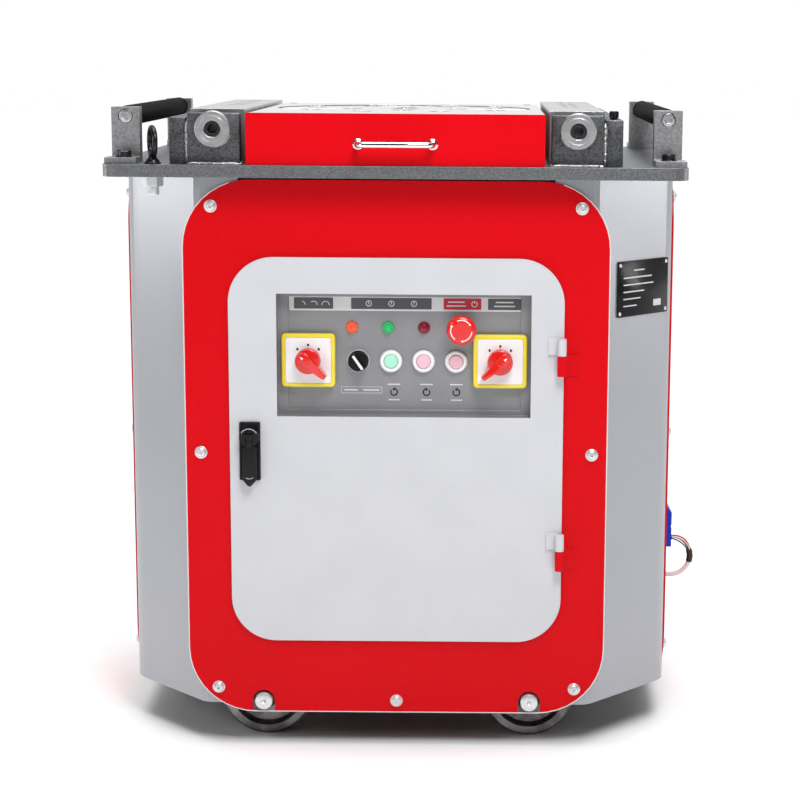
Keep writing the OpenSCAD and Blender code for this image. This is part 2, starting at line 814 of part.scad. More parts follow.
// Ring bearing between two radii
module bearing(outer, inner, h) {
    difference() {
        cylinder(r = outer, h = h);
        translate([0, 0, -1]) cylinder(r = inner, h = h + 2);
    }
}

module shaft_bearings() {
    color(bright) {
        translate([0, mid_y, case_bottom + 8]) bearing(55, shaft_r + run_gap, 16);
        translate([0, mid_y, table_top - table_t - 6]) bearing(62, shaft_r + run_gap, 22);
        translate([counter_x, counter_y, case_bottom + 6]) bearing(20, 12 + run_gap, 12);
        translate([input_x, input_y, case_bottom - 10]) bearing(20, 10 + run_gap, 26);
        translate([counter_x, counter_y, case_top - 13]) bearing(26, 12 + run_gap, 13);
    }
}

module countershaft() {
    pinion_phase = counter_angle + 180 + 180 / slow_pinion_teeth;
    wheel_phase = input_angle;
    color(steel) translate([counter_x, counter_y, 0]) {
        translate([0, 0, case_bottom + 7]) cylinder(r = 12, h = case_top - 1 - case_bottom - 7);
        translate([0, 0, bull_z]) rotate(pinion_phase)
            gear(slow_pinion_teeth, slow_module, bull_w);
        translate([0, 0, fast_z]) rotate(wheel_phase) difference() {
            gear(fast_wheel_teeth, fast_module, fast_w);
            for (i = [0 : 4]) rotate(i * 72) translate([48, 0, -1])
                cylinder(r = 18, h = fast_w + 2);
        }
    }
}

module input_shaft() {
    phase = input_angle + 180 + 180 / fast_pinion_teeth;
    color(steel) translate([input_x, input_y, 0]) {
        translate([0, 0, belt_z - 4]) cylinder(r = 10, h = fast_z + fast_w - belt_z + 4);
        translate([0, 0, fast_z]) rotate(phase)
            gear(fast_pinion_teeth, fast_module, fast_w);
    }
}

// Grooved pulley for two belts, its lower face at z = 0
module pulley(r, hub) {
    rim = r + groove;
    difference() {
        union() {
            cylinder(r = r - belt_gap, h = 2 * belt_pitch + 2);
            for (i = [0 : 2]) translate([0, 0, i * belt_pitch])
                cylinder(r = rim, h = 2);
        }
        translate([0, 0, -1]) cylinder(r = hub, h = 60);
    }
}

module large_pulley() {
    color(steel) translate([input_x, input_y, belt_z]) pulley(large_pulley_r, 10);
}

// Outline of a belt round two circles, r1 at the origin and r2 at (d, 0)
function belt_outline(r1, r2, d) =
    let (lean = acos((r1 - r2) / d))
    concat([for (i = [0 : 40]) let (a = lean + i * (360 - 2 * lean) / 40) r1 * [cos(a), sin(a)]],
           [for (i = [0 : 16]) let (a = -lean + i * 2 * lean / 16)
               [d + r2 * cos(a), r2 * sin(a)]]);

module drive_belts() {
    span = norm([motor_x - input_x, motor_y - input_y]);
    turn = atan2(motor_y - input_y, motor_x - input_x);
    color(black) for (i = [0, 1])
        translate([input_x, input_y, belt_z + 3 + i * belt_pitch]) rotate(turn)
            linear_extrude(belt_w) difference() {
                polygon(belt_outline(large_pulley_r + belt_t, motor_pulley_r + belt_t, span));
                polygon(belt_outline(large_pulley_r, motor_pulley_r, span));
            }
}

// Flange-mounted motor with cooling fins and a fan cover
motor_bottom = 262;
module motor_body() {
    color([0.2, 0.35, 0.6]) translate([motor_x, motor_y, 0]) difference() {
        union() {
            translate([0, 0, shelf_z - 12.05]) cylinder(r = 96, h = 12);
            translate([0, 0, motor_bottom + 50])
                cylinder(r = 78, h = shelf_z - motor_bottom - 61);
            translate([0, 0, motor_bottom]) cylinder(r = 86, h = 60);
            for (i = [0 : 11]) rotate(i * 30 + 15) translate([76, -1.5, motor_bottom + 60])
                cube([12, 3, 210]);
            rotate(180) translate([60, -40, 420]) cube([34, 80, 70]);
        }
        translate([0, 0, shelf_z - 30]) cylinder(r = 14 + run_gap, h = 40);
        for (a = [45 : 90 : 315]) rotate(a) translate([82, 0, shelf_z - 20])
            cylinder(r = 5, h = 30);
    }
}

module motor_rotor() {
    color(bright) translate([motor_x, motor_y, 0]) {
        translate([0, 0, shelf_z - 28]) cylinder(r = 14, h = belt_z + 38 - shelf_z + 28);
        translate([0, 0, belt_z]) pulley(motor_pulley_r, 14 - eps);
    }
}

// ---- support bars ----

// Front plate, bush and outer rail of one bar, welded together
module screw_housings() {
    color(steel) both_x() difference() {
        union() {
            block([bar_x - 34, housing_y, table_top],
                  [bar_x + 34, housing_y + housing_t, table_top + 66]);
            bar_y(bar_x, screw_z, 23, housing_y - 15, housing_y + eps);
            block([bar_x + bar_w / 2 + 1, housing_y + 10, table_top],
                  [bar_x + bar_w / 2 + 1 + rail_w, 2 * mid_y - housing_y, table_top + rail_h]);
        }
        bar_y(bar_x, screw_z, screw_r + run_gap, housing_y - 16, housing_y + housing_t + 1);
    }
}

// Screw with a hexagon socket in its front end and a thrust collar behind the plate
module lead_screw(sink) {
    color(bright) difference() {
        union() {
            bar_y(bar_x, screw_z, screw_r, housing_y - 15 + sink, screw_end);
            bar_y(bar_x, screw_z, 15, housing_y + housing_t + 0.3, housing_y + housing_t + 6);
        }
        translate([bar_x, housing_y - 16, screw_z]) rotate([-90, 0, 0])
            cylinder(r = 7, h = 15 + sink, $fn = 6);
    }
}
module left_screw() { mirror([1, 0, 0]) lead_screw(1); }
module right_screw() { lead_screw(3); }

// Bar with a row of pin holes and a bore for its screw
module support_bar() {
    color(silver) difference() {
        block([bar_x - bar_w / 2, bar_front, table_top + 0.3],
              [bar_x + bar_w / 2, bar_rear, table_top + bar_h]);
        bar_y(bar_x, screw_z, screw_r + run_gap, bar_front - 1, bar_bore_end);
        for (i = [0 : bar_holes - 1])
            translate([bar_x, first_bar_hole + i * bar_pitch, table_top + bar_h - 45])
                cylinder(r = bar_hole_d / 2, h = 50);
    }
}
module left_support_bar() { mirror([1, 0, 0]) support_bar(); }
module right_support_bar() { support_bar(); }

// ---- rollers and table fittings ----

module roller_brackets() {
    color(silver) both_x() difference() {
        for (end = [[bracket_front, -1], [bracket_rear, 1]]) {
            near = end[0];
            block([roller_x - bracket_w / 2, near, table_top],
                  [roller_x + bracket_w / 2, near + bracket_t, table_top + bracket_h]);
            foot_y = end[1] < 0 ? near - foot_l : near + bracket_t - eps;
            block([roller_x - bracket_w / 2, foot_y, table_top],
                  [roller_x + bracket_w / 2 + 4, foot_y + foot_l + eps, table_top + foot_h]);
        }
        bar_y(roller_x, roller_z, roller_bolt_r + run_gap, -300, 300);
        bar_y(roller_x, roller_z, 9.5, bracket_front - 1, bracket_front + 6);
        bar_y(roller_x, roller_z, 9.5, bracket_rear + bracket_t - 6, bracket_rear + bracket_t + 1);
        for (p = foot_bolt_places) if (p[0] > 0)
            translate([p[0], p[1], table_top - 1]) cylinder(r = foot_bolt_r + 0.2, h = 20);
    }
}

// Fixed axle rods with socket heads sunk in the brackets
module roller_axles() {
    color(bright) both_x() difference() {
        union() {
            bar_y(roller_x, roller_z, roller_bolt_r, bracket_front + 1, bracket_rear + bracket_t - 1);
            bar_y(roller_x, roller_z, 8.8, bracket_front + 0.5, bracket_front + 6);
            bar_y(roller_x, roller_z, 8.8, bracket_rear + bracket_t - 6, bracket_rear + bracket_t - 0.5);
        }
        translate([roller_x, bracket_front - 1, roller_z]) rotate([-90, 0, 0])
            cylinder(r = 4, h = 6, $fn = 6);
    }
}

module feed_roller() {
    color(black) difference() {
        bar_y(roller_x, roller_z, roller_d / 2, bracket_front + bracket_t + 1, bracket_rear - 1);
        bar_y(roller_x, roller_z, roller_bolt_r + run_gap, -300, 300);
    }
}
module left_roller() { mirror([1, 0, 0]) feed_roller(); }
module right_roller() { feed_roller(); }

// Bolts through the bracket feet, the rail clamp screw and the cover plate screws
module table_bolts() {
    color(steel) {
        for (p = foot_bolt_places)
            translate([p[0], p[1], table_top + foot_h]) hex_bolt(foot_bolt_r, foot_h + table_t);
        translate([bar_x + bar_w / 2 + 12, -250, table_top + rail_h])
            cylinder(r = 7, h = 11, $fn = 6);
        for (x = [-1, 1], y = [-280, 240])
            translate([x * (box_w / 2 - 14), y, table_top + box_h - cover_plate_t])
                cylinder(r = 3.3, h = cover_plate_t - 0.5);
    }
}

// Lifting eye: ring, collar and threaded shank with its nut under the table
module lifting_eye() {
    color(steel) {
        cylinder(r = 11, h = 3);
        translate([0, 0, 29]) rotate([0, 90, 0]) rotate([0, 0, 90]) rotate_extrude()
            translate([17.6, 0]) circle(r = 3.6, $fn = 32);
        translate([0, 0, 3]) cylinder(r1 = 9, r2 = 4.5, h = 8);
        translate([0, 0, -40]) cylinder(r = 8, h = 41);
    }
    color(bright) translate([0, 0, -table_t - 13]) difference() {
        cylinder(r = 13.5, h = 13, $fn = 6);
        translate([0, 0, -1]) cylinder(r = 8 - eps, h = 20);
    }
}
module lifting_eyes() {
    for (p = eye_places) translate([p[0], p[1], table_top]) rotate(20) lifting_eye();
}

// ---- wheels ----

module wheel_axles() {
    color(bright) both_x() {
        bar_y(axle_x, axle_z, axle_r, panel_y - 2, 2 * mid_y - panel_y + 2);
        both_y() bar_y(axle_x, axle_z, 12, panel_y - 4, panel_y + 14);
    }
}

// Wheel with a deep dish on both faces
module wheel() {
    rim = wheel_d / 2;
    half = wheel_w / 2;
    color([0.35, 0.35, 0.37]) rotate([90, 0, 0]) rotate_extrude($fn = 96)
        polygon([[axle_r + run_gap, -half - 3], [20, -half - 3], [22, -8], [rim - 16, -8],
                 [rim - 12, -half], [rim - 3, -half], [rim, -half + 3], [rim, half - 3],
                 [rim - 3, half], [rim - 12, half], [rim - 16, 8], [22, 8], [20, half + 3],
                 [axle_r + run_gap, half + 3]]);
}
module front_left_wheel() { translate([-axle_x, wheel_y, axle_z]) wheel(); }
module front_right_wheel() { translate([axle_x, wheel_y, axle_z]) wheel(); }
module rear_left_wheel() { translate([-axle_x, 2 * mid_y - wheel_y, axle_z]) wheel(); }
module rear_right_wheel() { translate([axle_x, 2 * mid_y - wheel_y, axle_z]) wheel(); }

// ---- side cable ----

module side_socket() {
    color([0.1, 0.25, 0.8]) translate([panel_face, socket_y, socket_z]) rotate([90, 0, 90])
        linear_extrude(3) rounded_rect(58, 64, 8);
    color(black) translate([panel_face, socket_y, gland_z]) rotate([0, 90, 0]) {
        cylinder(r = 9, h = 4, $fn = 6);
        cylinder(r = 6.5, h = 6);
    }
}

module cable_plug() {
    color([0.1, 0.25, 0.8]) translate([panel_face + 3, socket_y, socket_z])
        translate([0, 25, -30]) rotate([90, 0, 0]) linear_extrude(50)
            polygon([[0, 0], [12, 0], [12, 52], [5, 61], [0, 61]]);
}

// Tube of the given number of sides swept along the route, its rings at right angles to it
sides = 8;
function route_heading(i) = unit(cable_route[min(i + 1, len(cable_route) - 1)]
    - cable_route[max(i - 1, 0)]);
function ring(i) = let (h = route_heading(i), out = [h[2], 0, -h[0]])
    [for (k = [0 : sides - 1]) cable_route[i]
        + cable_d / 2 * (out * cos(k * 360 / sides) + [0, 1, 0] * sin(k * 360 / sides))];
module side_cable() {
    last = len(cable_route) - 1;
    color([0.9, 0.9, 0.9]) polyhedron(
        points = [for (i = [0 : last]) each ring(i)],
        faces = concat([[for (k = [0 : sides - 1]) k]],
            [[for (k = [sides - 1 : -1 : 0]) last * sides + k]],
            [for (i = [0 : last - 1], k = [0 : sides - 1])
                [i * sides + k, (i + 1) * sides + k,
                 (i + 1) * sides + (k + 1) % sides, i * sides + (k + 1) % sides]]));
}

base_frame();
table_plate();
front_panel();
rear_panel();
side_panels();
corner_covers();
panel_bolts();
door();
hinge_brackets();
latch_case();
latch_spindle();
latch_handle();
control_panel();
indicator_lamps();
stop_button_base();
stop_button_head();
control_bezels();
start_button();
forward_button();
reverse_button();
selector_knob();
switch_plates();
left_switch_knob();
right_switch_knob();
cover_frame();
cover_plate();
scale_tray();
tray_handle();
turntable_disc();
main_shaft();
bull_gear();
gearbox_case();
shaft_bearings();
countershaft();
input_shaft();
large_pulley();
drive_belts();
motor_body();
motor_rotor();
screw_housings();
left_screw();
right_screw();
left_support_bar();
right_support_bar();
roller_brackets();
roller_axles();
left_roller();
right_roller();
table_bolts();
lifting_eyes();
wheel_axles();
front_left_wheel();
front_right_wheel();
rear_left_wheel();
rear_right_wheel();
side_socket();
cable_plug();
side_cable();
rating_plate();
switchgear();
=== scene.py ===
import math
import random

import bmesh
import bpy
from mathutils import Matrix, Vector


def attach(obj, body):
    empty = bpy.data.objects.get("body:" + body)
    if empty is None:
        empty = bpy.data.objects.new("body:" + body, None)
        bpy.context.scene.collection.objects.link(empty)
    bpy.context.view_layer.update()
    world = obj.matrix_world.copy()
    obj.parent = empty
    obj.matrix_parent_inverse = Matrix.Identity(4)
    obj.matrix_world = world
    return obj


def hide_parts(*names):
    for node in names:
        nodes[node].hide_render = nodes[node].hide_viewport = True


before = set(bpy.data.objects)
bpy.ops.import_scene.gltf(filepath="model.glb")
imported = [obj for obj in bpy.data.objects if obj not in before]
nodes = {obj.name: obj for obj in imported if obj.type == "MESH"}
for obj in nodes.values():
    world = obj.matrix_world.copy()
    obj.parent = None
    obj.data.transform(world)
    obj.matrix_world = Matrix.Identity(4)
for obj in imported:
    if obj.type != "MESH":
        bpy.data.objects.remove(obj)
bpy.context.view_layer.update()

mm = 0.001
scene = bpy.context.scene
left, right = -1, 1

# camera

view = {
    "place": (118.4, -3095.2, 938.3),
    "turn": (79.458, -0.423, 0.0755),
    "lens": 96.72,
    "shift": (-0.1064, 0.0625),
}


def addCamera(v):
    data = bpy.data.cameras.new("camera")
    data.lens = v["lens"]
    data.shift_x, data.shift_y = v["shift"]
    data.clip_end = 100
    camera = bpy.data.objects.new("camera", data)
    camera.location = Vector(v["place"]) * mm
    camera.rotation_euler = [math.radians(a) for a in v["turn"]]
    scene.collection.objects.link(camera)
    scene.camera = camera


addCamera(view)
scene.view_settings.view_transform = "Standard"
print("camera set")

# shapes, all in millimetres


def facing(at, towards=(0, -1, 0), roll=0):
    turn = Vector(towards).to_track_quat("Z", "Y").to_matrix().to_4x4()
    return Matrix.Translation(at) @ turn @ Matrix.Rotation(math.radians(roll), 4, "Z")


def upright(x, y, z, roll=0):  # local X to the right, local Y up, local Z towards the front
    return Matrix.Translation((x, y, z)) @ Matrix.Rotation(math.pi / 2, 4, "X") @ Matrix.Rotation(
        math.radians(roll), 4, "Z")


def bridge(mesh, lower, upper):
    count = len(lower)
    for i in range(count):
        j = (i + 1) % count
        mesh.faces.new((lower[i], lower[j], upper[j], upper[i]))


def stack(mesh, rings, place, closed=False):  # skin over rings of points, from the first to the last
    made = [[mesh.verts.new(place @ Vector(p)) for p in ring] for ring in rings]
    for lower, upper in zip(made, made[1:]):
        bridge(mesh, lower, upper)
    if closed:
        bridge(mesh, made[-1], made[0])
    else:
        mesh.faces.new(list(reversed(made[0])))
        mesh.faces.new(made[-1])


def spoke(reach, angle):
    return reach * math.cos(angle), reach * math.sin(angle)


def ringOf(radius, height, sides=0, steps=48):  # with sides, radius is the distance to a flat
    points = []
    for i in range(steps):
        angle = math.tau * i / steps
        reach = radius
        if sides:
            part = math.tau / sides
            reach = radius / math.cos(angle % part - part / 2)
        points.append((*spoke(reach, angle), height))
    return points


def turned(mesh, profile, place, steps=48, closed=False):
    stack(mesh, [ringOf(p[0], p[1], p[2] if len(p) > 2 else 0, steps) for p in profile], place, closed)


def roundedOutline(width, height, radius, steps=6):
    points = []
    for quarter, (sx, sy) in enumerate(((1, 1), (-1, 1), (-1, -1), (1, -1))):
        for i in range(steps + 1):
            angle = math.radians(90 * (quarter + i / steps))
            points.append((sx * (width / 2 - radius) + radius * math.cos(angle),
                           sy * (height / 2 - radius) + radius * math.sin(angle)))
    return points


def platen(mesh, width, height, radius, profile, place, closed=False, steps=6):
    rings = []
    for inset, level in profile:
        outline = roundedOutline(width - 2 * inset, height - 2 * inset, max(radius - inset, 0.2), steps)
        rings.append([(x, y, level) for x, y in outline])
    stack(mesh, rings, place, closed)


def printed(mesh, width, height, radius, place):  # thin printed bar
    platen(mesh, width, height, radius, [(0, 0), (0, 0.12)], place, steps=2)


def shaped(mesh, outline, profile, place):  # an outline drawn in towards its middle, level by level
    cx = sum(p[0] for p in outline) / len(outline)
    cy = sum(p[1] for p in outline) / len(outline)
    reach = max(math.hypot(x - cx, y - cy) for x, y in outline)
    rings = []
    for inset, level in profile:
        s = 1 - inset / reach
        rings.append([(cx + (x - cx) * s, cy + (y - cy) * s, level) for x, y in outline])
    stack(mesh, rings, place)


def softBlock(mesh, low, high, ease=1.0):  # box with eased edges
    w, h, d = (b - a for a, b in zip(low, high))
    middle = Vector(((low[0] + high[0]) / 2, (low[1] + high[1]) / 2, low[2]))
    part = 0.3 * ease
    profile = [(ease, 0), (part, part), (0, ease), (0, d - ease), (part, d - part), (ease, d)]
    platen(mesh, w, h, ease, profile, Matrix.Translation(middle), steps=2)


def swept(mesh, path, radius, sides=12, closed=False):  # radius is a number or a list, one for each point
    points = [Vector(p) for p in path]
    count = len(points)
    radii = radius if isinstance(radius, list) else [radius] * count
    rings = []
    side = None
    for i, point in enumerate(points):
        before = points[i - 1] if i or closed else point
        after = points[(i + 1) % count] if i < count - 1 or closed else point
        heading = (after - before).normalized()
        if side is None:
            side = heading.orthogonal().normalized()
        side = (side - heading * side.dot(heading)).normalized()
        other = heading.cross(side)
        rings.append([point + radii[i] * (side * math.cos(a) + other * math.sin(a))
                      for a in (math.tau * k / sides for k in range(sides))])
    stack(mesh, rings, Matrix.Identity(4), closed)


def weldBead(mesh, start, end, size, draw):
    start, end = Vector(start), Vector(end)
    steps = max(6, int((end - start).length / 0.9))
    path, radii = [], []
    for i in range(steps + 1):
        t = i / steps
        wander = Vector([draw.uniform(-0.25, 0.25) for _ in range(3)])
        path.append(start.lerp(end, t) + wander)
        ends = min(1, 6 * t + 0.35, 6 * (1 - t) + 0.35)
        ripple = 0.86 + 0.14 * abs(math.sin(i * math.pi / 3))
        radii.append(size * ends * ripple * draw.uniform(0.94, 1.06))
    swept(mesh, path, radii, 10)


def arcBand(mesh, place, radius, width, start, sweep, depth, head=0):  # flat arc, with or without a head
    steps = max(6, int(abs(sweep) / 8))
    angles = [math.radians(start + sweep * i / steps) for i in range(steps + 1)]
    outer = [spoke(radius + width / 2, a) for a in angles]
    inner = [spoke(radius - width / 2, a) for a in angles]
    tip = []
    if head:
        a = angles[-1]
        ahead = a + math.copysign(head / radius, sweep)
        tip = [spoke(radius + head * 0.7, a), spoke(radius, ahead), spoke(radius - head * 0.7, a)]
    outline = outer + tip + inner[::-1]
    stack(mesh, [[(x, y, z) for x, y in outline] for z in (0, depth)], place)


def piece(name, build, finish, body, stands=(), rounding=0, crease=32):
    mesh = bmesh.new()
    build(mesh)
    mesh.transform(Matrix.Scale(mm, 4))
    bmesh.ops.recalc_face_normals(mesh, faces=mesh.faces)
    data = bpy.data.meshes.new(name)
    mesh.to_mesh(data)
    mesh.free()
    data.materials.append(finishes[finish])
    data.shade_smooth()
    data.set_sharp_from_angle(angle=math.radians(crease))
    made = bpy.data.objects.new(name, data)
    scene.collection.objects.link(made)
    if rounding:
        edges = made.modifiers.new("rounding", "BEVEL")
        edges.width = rounding * mm
        edges.segments = 2
        edges.limit_method = "ANGLE"
        edges.angle_limit = math.radians(crease)
        edges.harden_normals = True
    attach(made, body)
    if stands:
        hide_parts(*stands)
    return made


# finishes


def nodeAt(tree, kind, **values):
    made = tree.nodes.new("ShaderNode" + kind)
    for key, value in values.items():
        if hasattr(made, key):
            setattr(made, key, value)
        else:
            made.inputs[key.replace("_", " ")].default_value = value
    return made


def grain(tree, scale, stretch=(1, 1, 1), detail=4.0, rough=0.55):
    coords = nodeAt(tree, "TexCoord")
    mapping = nodeAt(tree, "Mapping")
    mapping.inputs["Scale"].default_value = stretch
    noise = nodeAt(tree, "TexNoise", Scale=scale, Detail=detail, Roughness=rough)
    tree.links.new(coords.outputs["Object"], mapping.inputs["Vector"])
    tree.links.new(mapping.outputs["Vector"], noise.inputs["Vector"])
    return noise.outputs["Fac"]


def spread(tree, value, fromLow, fromHigh, low, high):
    made = nodeAt(tree, "MapRange", From_Min=fromLow, From_Max=fromHigh, To_Min=low, To_Max=high)
    tree.links.new(value, made.inputs["Value"])
    return made.outputs["Result"]


def mixColour(tree, amount, first, second):
    made = nodeAt(tree, "Mix", data_type="RGBA")
    sockets = [s for s in made.inputs if s.type == "RGBA"]
    tree.links.new(amount, made.inputs[0])
    for socket, colour in zip(sockets, (first, second)):
        if isinstance(colour, tuple):
            socket.default_value = (*colour, 1)
        else:
            tree.links.new(colour, socket)
    return [s for s in made.outputs if s.type == "RGBA"][0]


def makeFinish(name, look):
    material = bpy.data.materials.new(name)
    material.use_nodes = True
    tree = material.node_tree
    shader = tree.nodes["Principled BSDF"]
    for socket, value in look.get("shader", {}).items():
        shader.inputs[socket].default_value = value
    stretch = look.get("stretch", (1, 1, 1))
    patches = spread(tree, grain(tree, look.get("patchScale", 14), look.get("patchStretch", (1, 1, 1))),
                     0.38, 0.62, 0, 1)
    colour = mixColour(tree, patches, look["colour"], look["second"])
    fine = grain(tree, look.get("grainScale", 700), stretch, 5.0)
    low, high = look["rough"]
    tree.links.new(spread(tree, fine, 0.35, 0.65, low, high), shader.inputs["Roughness"])
    rounded = nodeAt(tree, "Bevel", samples=4, Radius=look.get("round", 0.8) * mm)
    if "wear" in look:  # bare or pale metal where the rounded normal leaves the true one: edge wear, and a painted highlight along the rounded edges
        wearColour, amount = look["wear"]
        true = nodeAt(tree, "NewGeometry").outputs["Normal"]
        along = nodeAt(tree, "VectorMath", operation="DOT_PRODUCT")
        tree.links.new(rounded.outputs["Normal"], along.inputs[0])
        tree.links.new(true, along.inputs[1])
        edge = spread(tree, along.outputs["Value"], 0.995, 0.9, 0, amount)
        wornAndSheenEdge = nodeAt(tree, "Math", operation="MULTIPLY")
        tree.links.new(edge, wornAndSheenEdge.inputs[0])
        tree.links.new(spread(tree, grain(tree, 180), 0.42, 0.58, 0.25, 1), wornAndSheenEdge.inputs[1])
        colour = mixColour(tree, wornAndSheenEdge.outputs["Value"], colour, wearColour)
    if "specks" in look:  # small dents, scale or dust
        speckColour, size, share = look["specks"]
        spots = spread(tree, grain(tree, size, detail=2.0), 0.72 - share, 0.76 - share, 0, 1)
        colour = mixColour(tree, spots, colour, speckColour)
    tree.links.new(colour, shader.inputs["Base Color"])
    height = fine
    if "ripple" in look:  # slow waves, as in sprayed paint or cast skin
        scale, share = look["ripple"]
        waves = nodeAt(tree, "Math", operation="MULTIPLY_ADD")
        tree.links.new(grain(tree, scale, detail=2.0), waves.inputs[0])
        waves.inputs[1].default_value = share
        tree.links.new(fine, waves.inputs[2])
        height = waves.outputs["Value"]
    if look.get("aroundZ"):  # lathe marks in rings, so light fans out over the face
        ring = nodeAt(tree, "Tangent", direction_type="RADIAL", axis="Z")
        tree.links.new(ring.outputs["Tangent"], shader.inputs["Tangent"])
    bump = nodeAt(tree, "Bump", Strength=look.get("strength", 0.4), Distance=look.get("depth", 0.05) * mm)
    tree.links.new(height, bump.inputs["Height"])
    tree.links.new(rounded.outputs["Normal"], bump.inputs["Normal"])
    tree.links.new(bump.outputs["Normal"], shader.inputs["Normal"])
    return material


def paint(colour, second, rough, **more):
    look = {"colour": colour, "second": second, "rough": rough, "ripple": (160, 3.0), "depth": 0.03}
    look.update(more)
    return look


def metal(colour, second, rough, **more):
    look = {"colour": colour, "second": second, "rough": rough, "depth": 0.04}
    look.update(more)
    look["shader"] = {"Metallic": 1.0, **more.get("shader", {})}
    return look


def plastic(colour, second, rough, **more):
    look = {"colour": colour, "second": second, "rough": rough, "depth": 0.02, "round": 0.4}
    look.update(more)
    return look


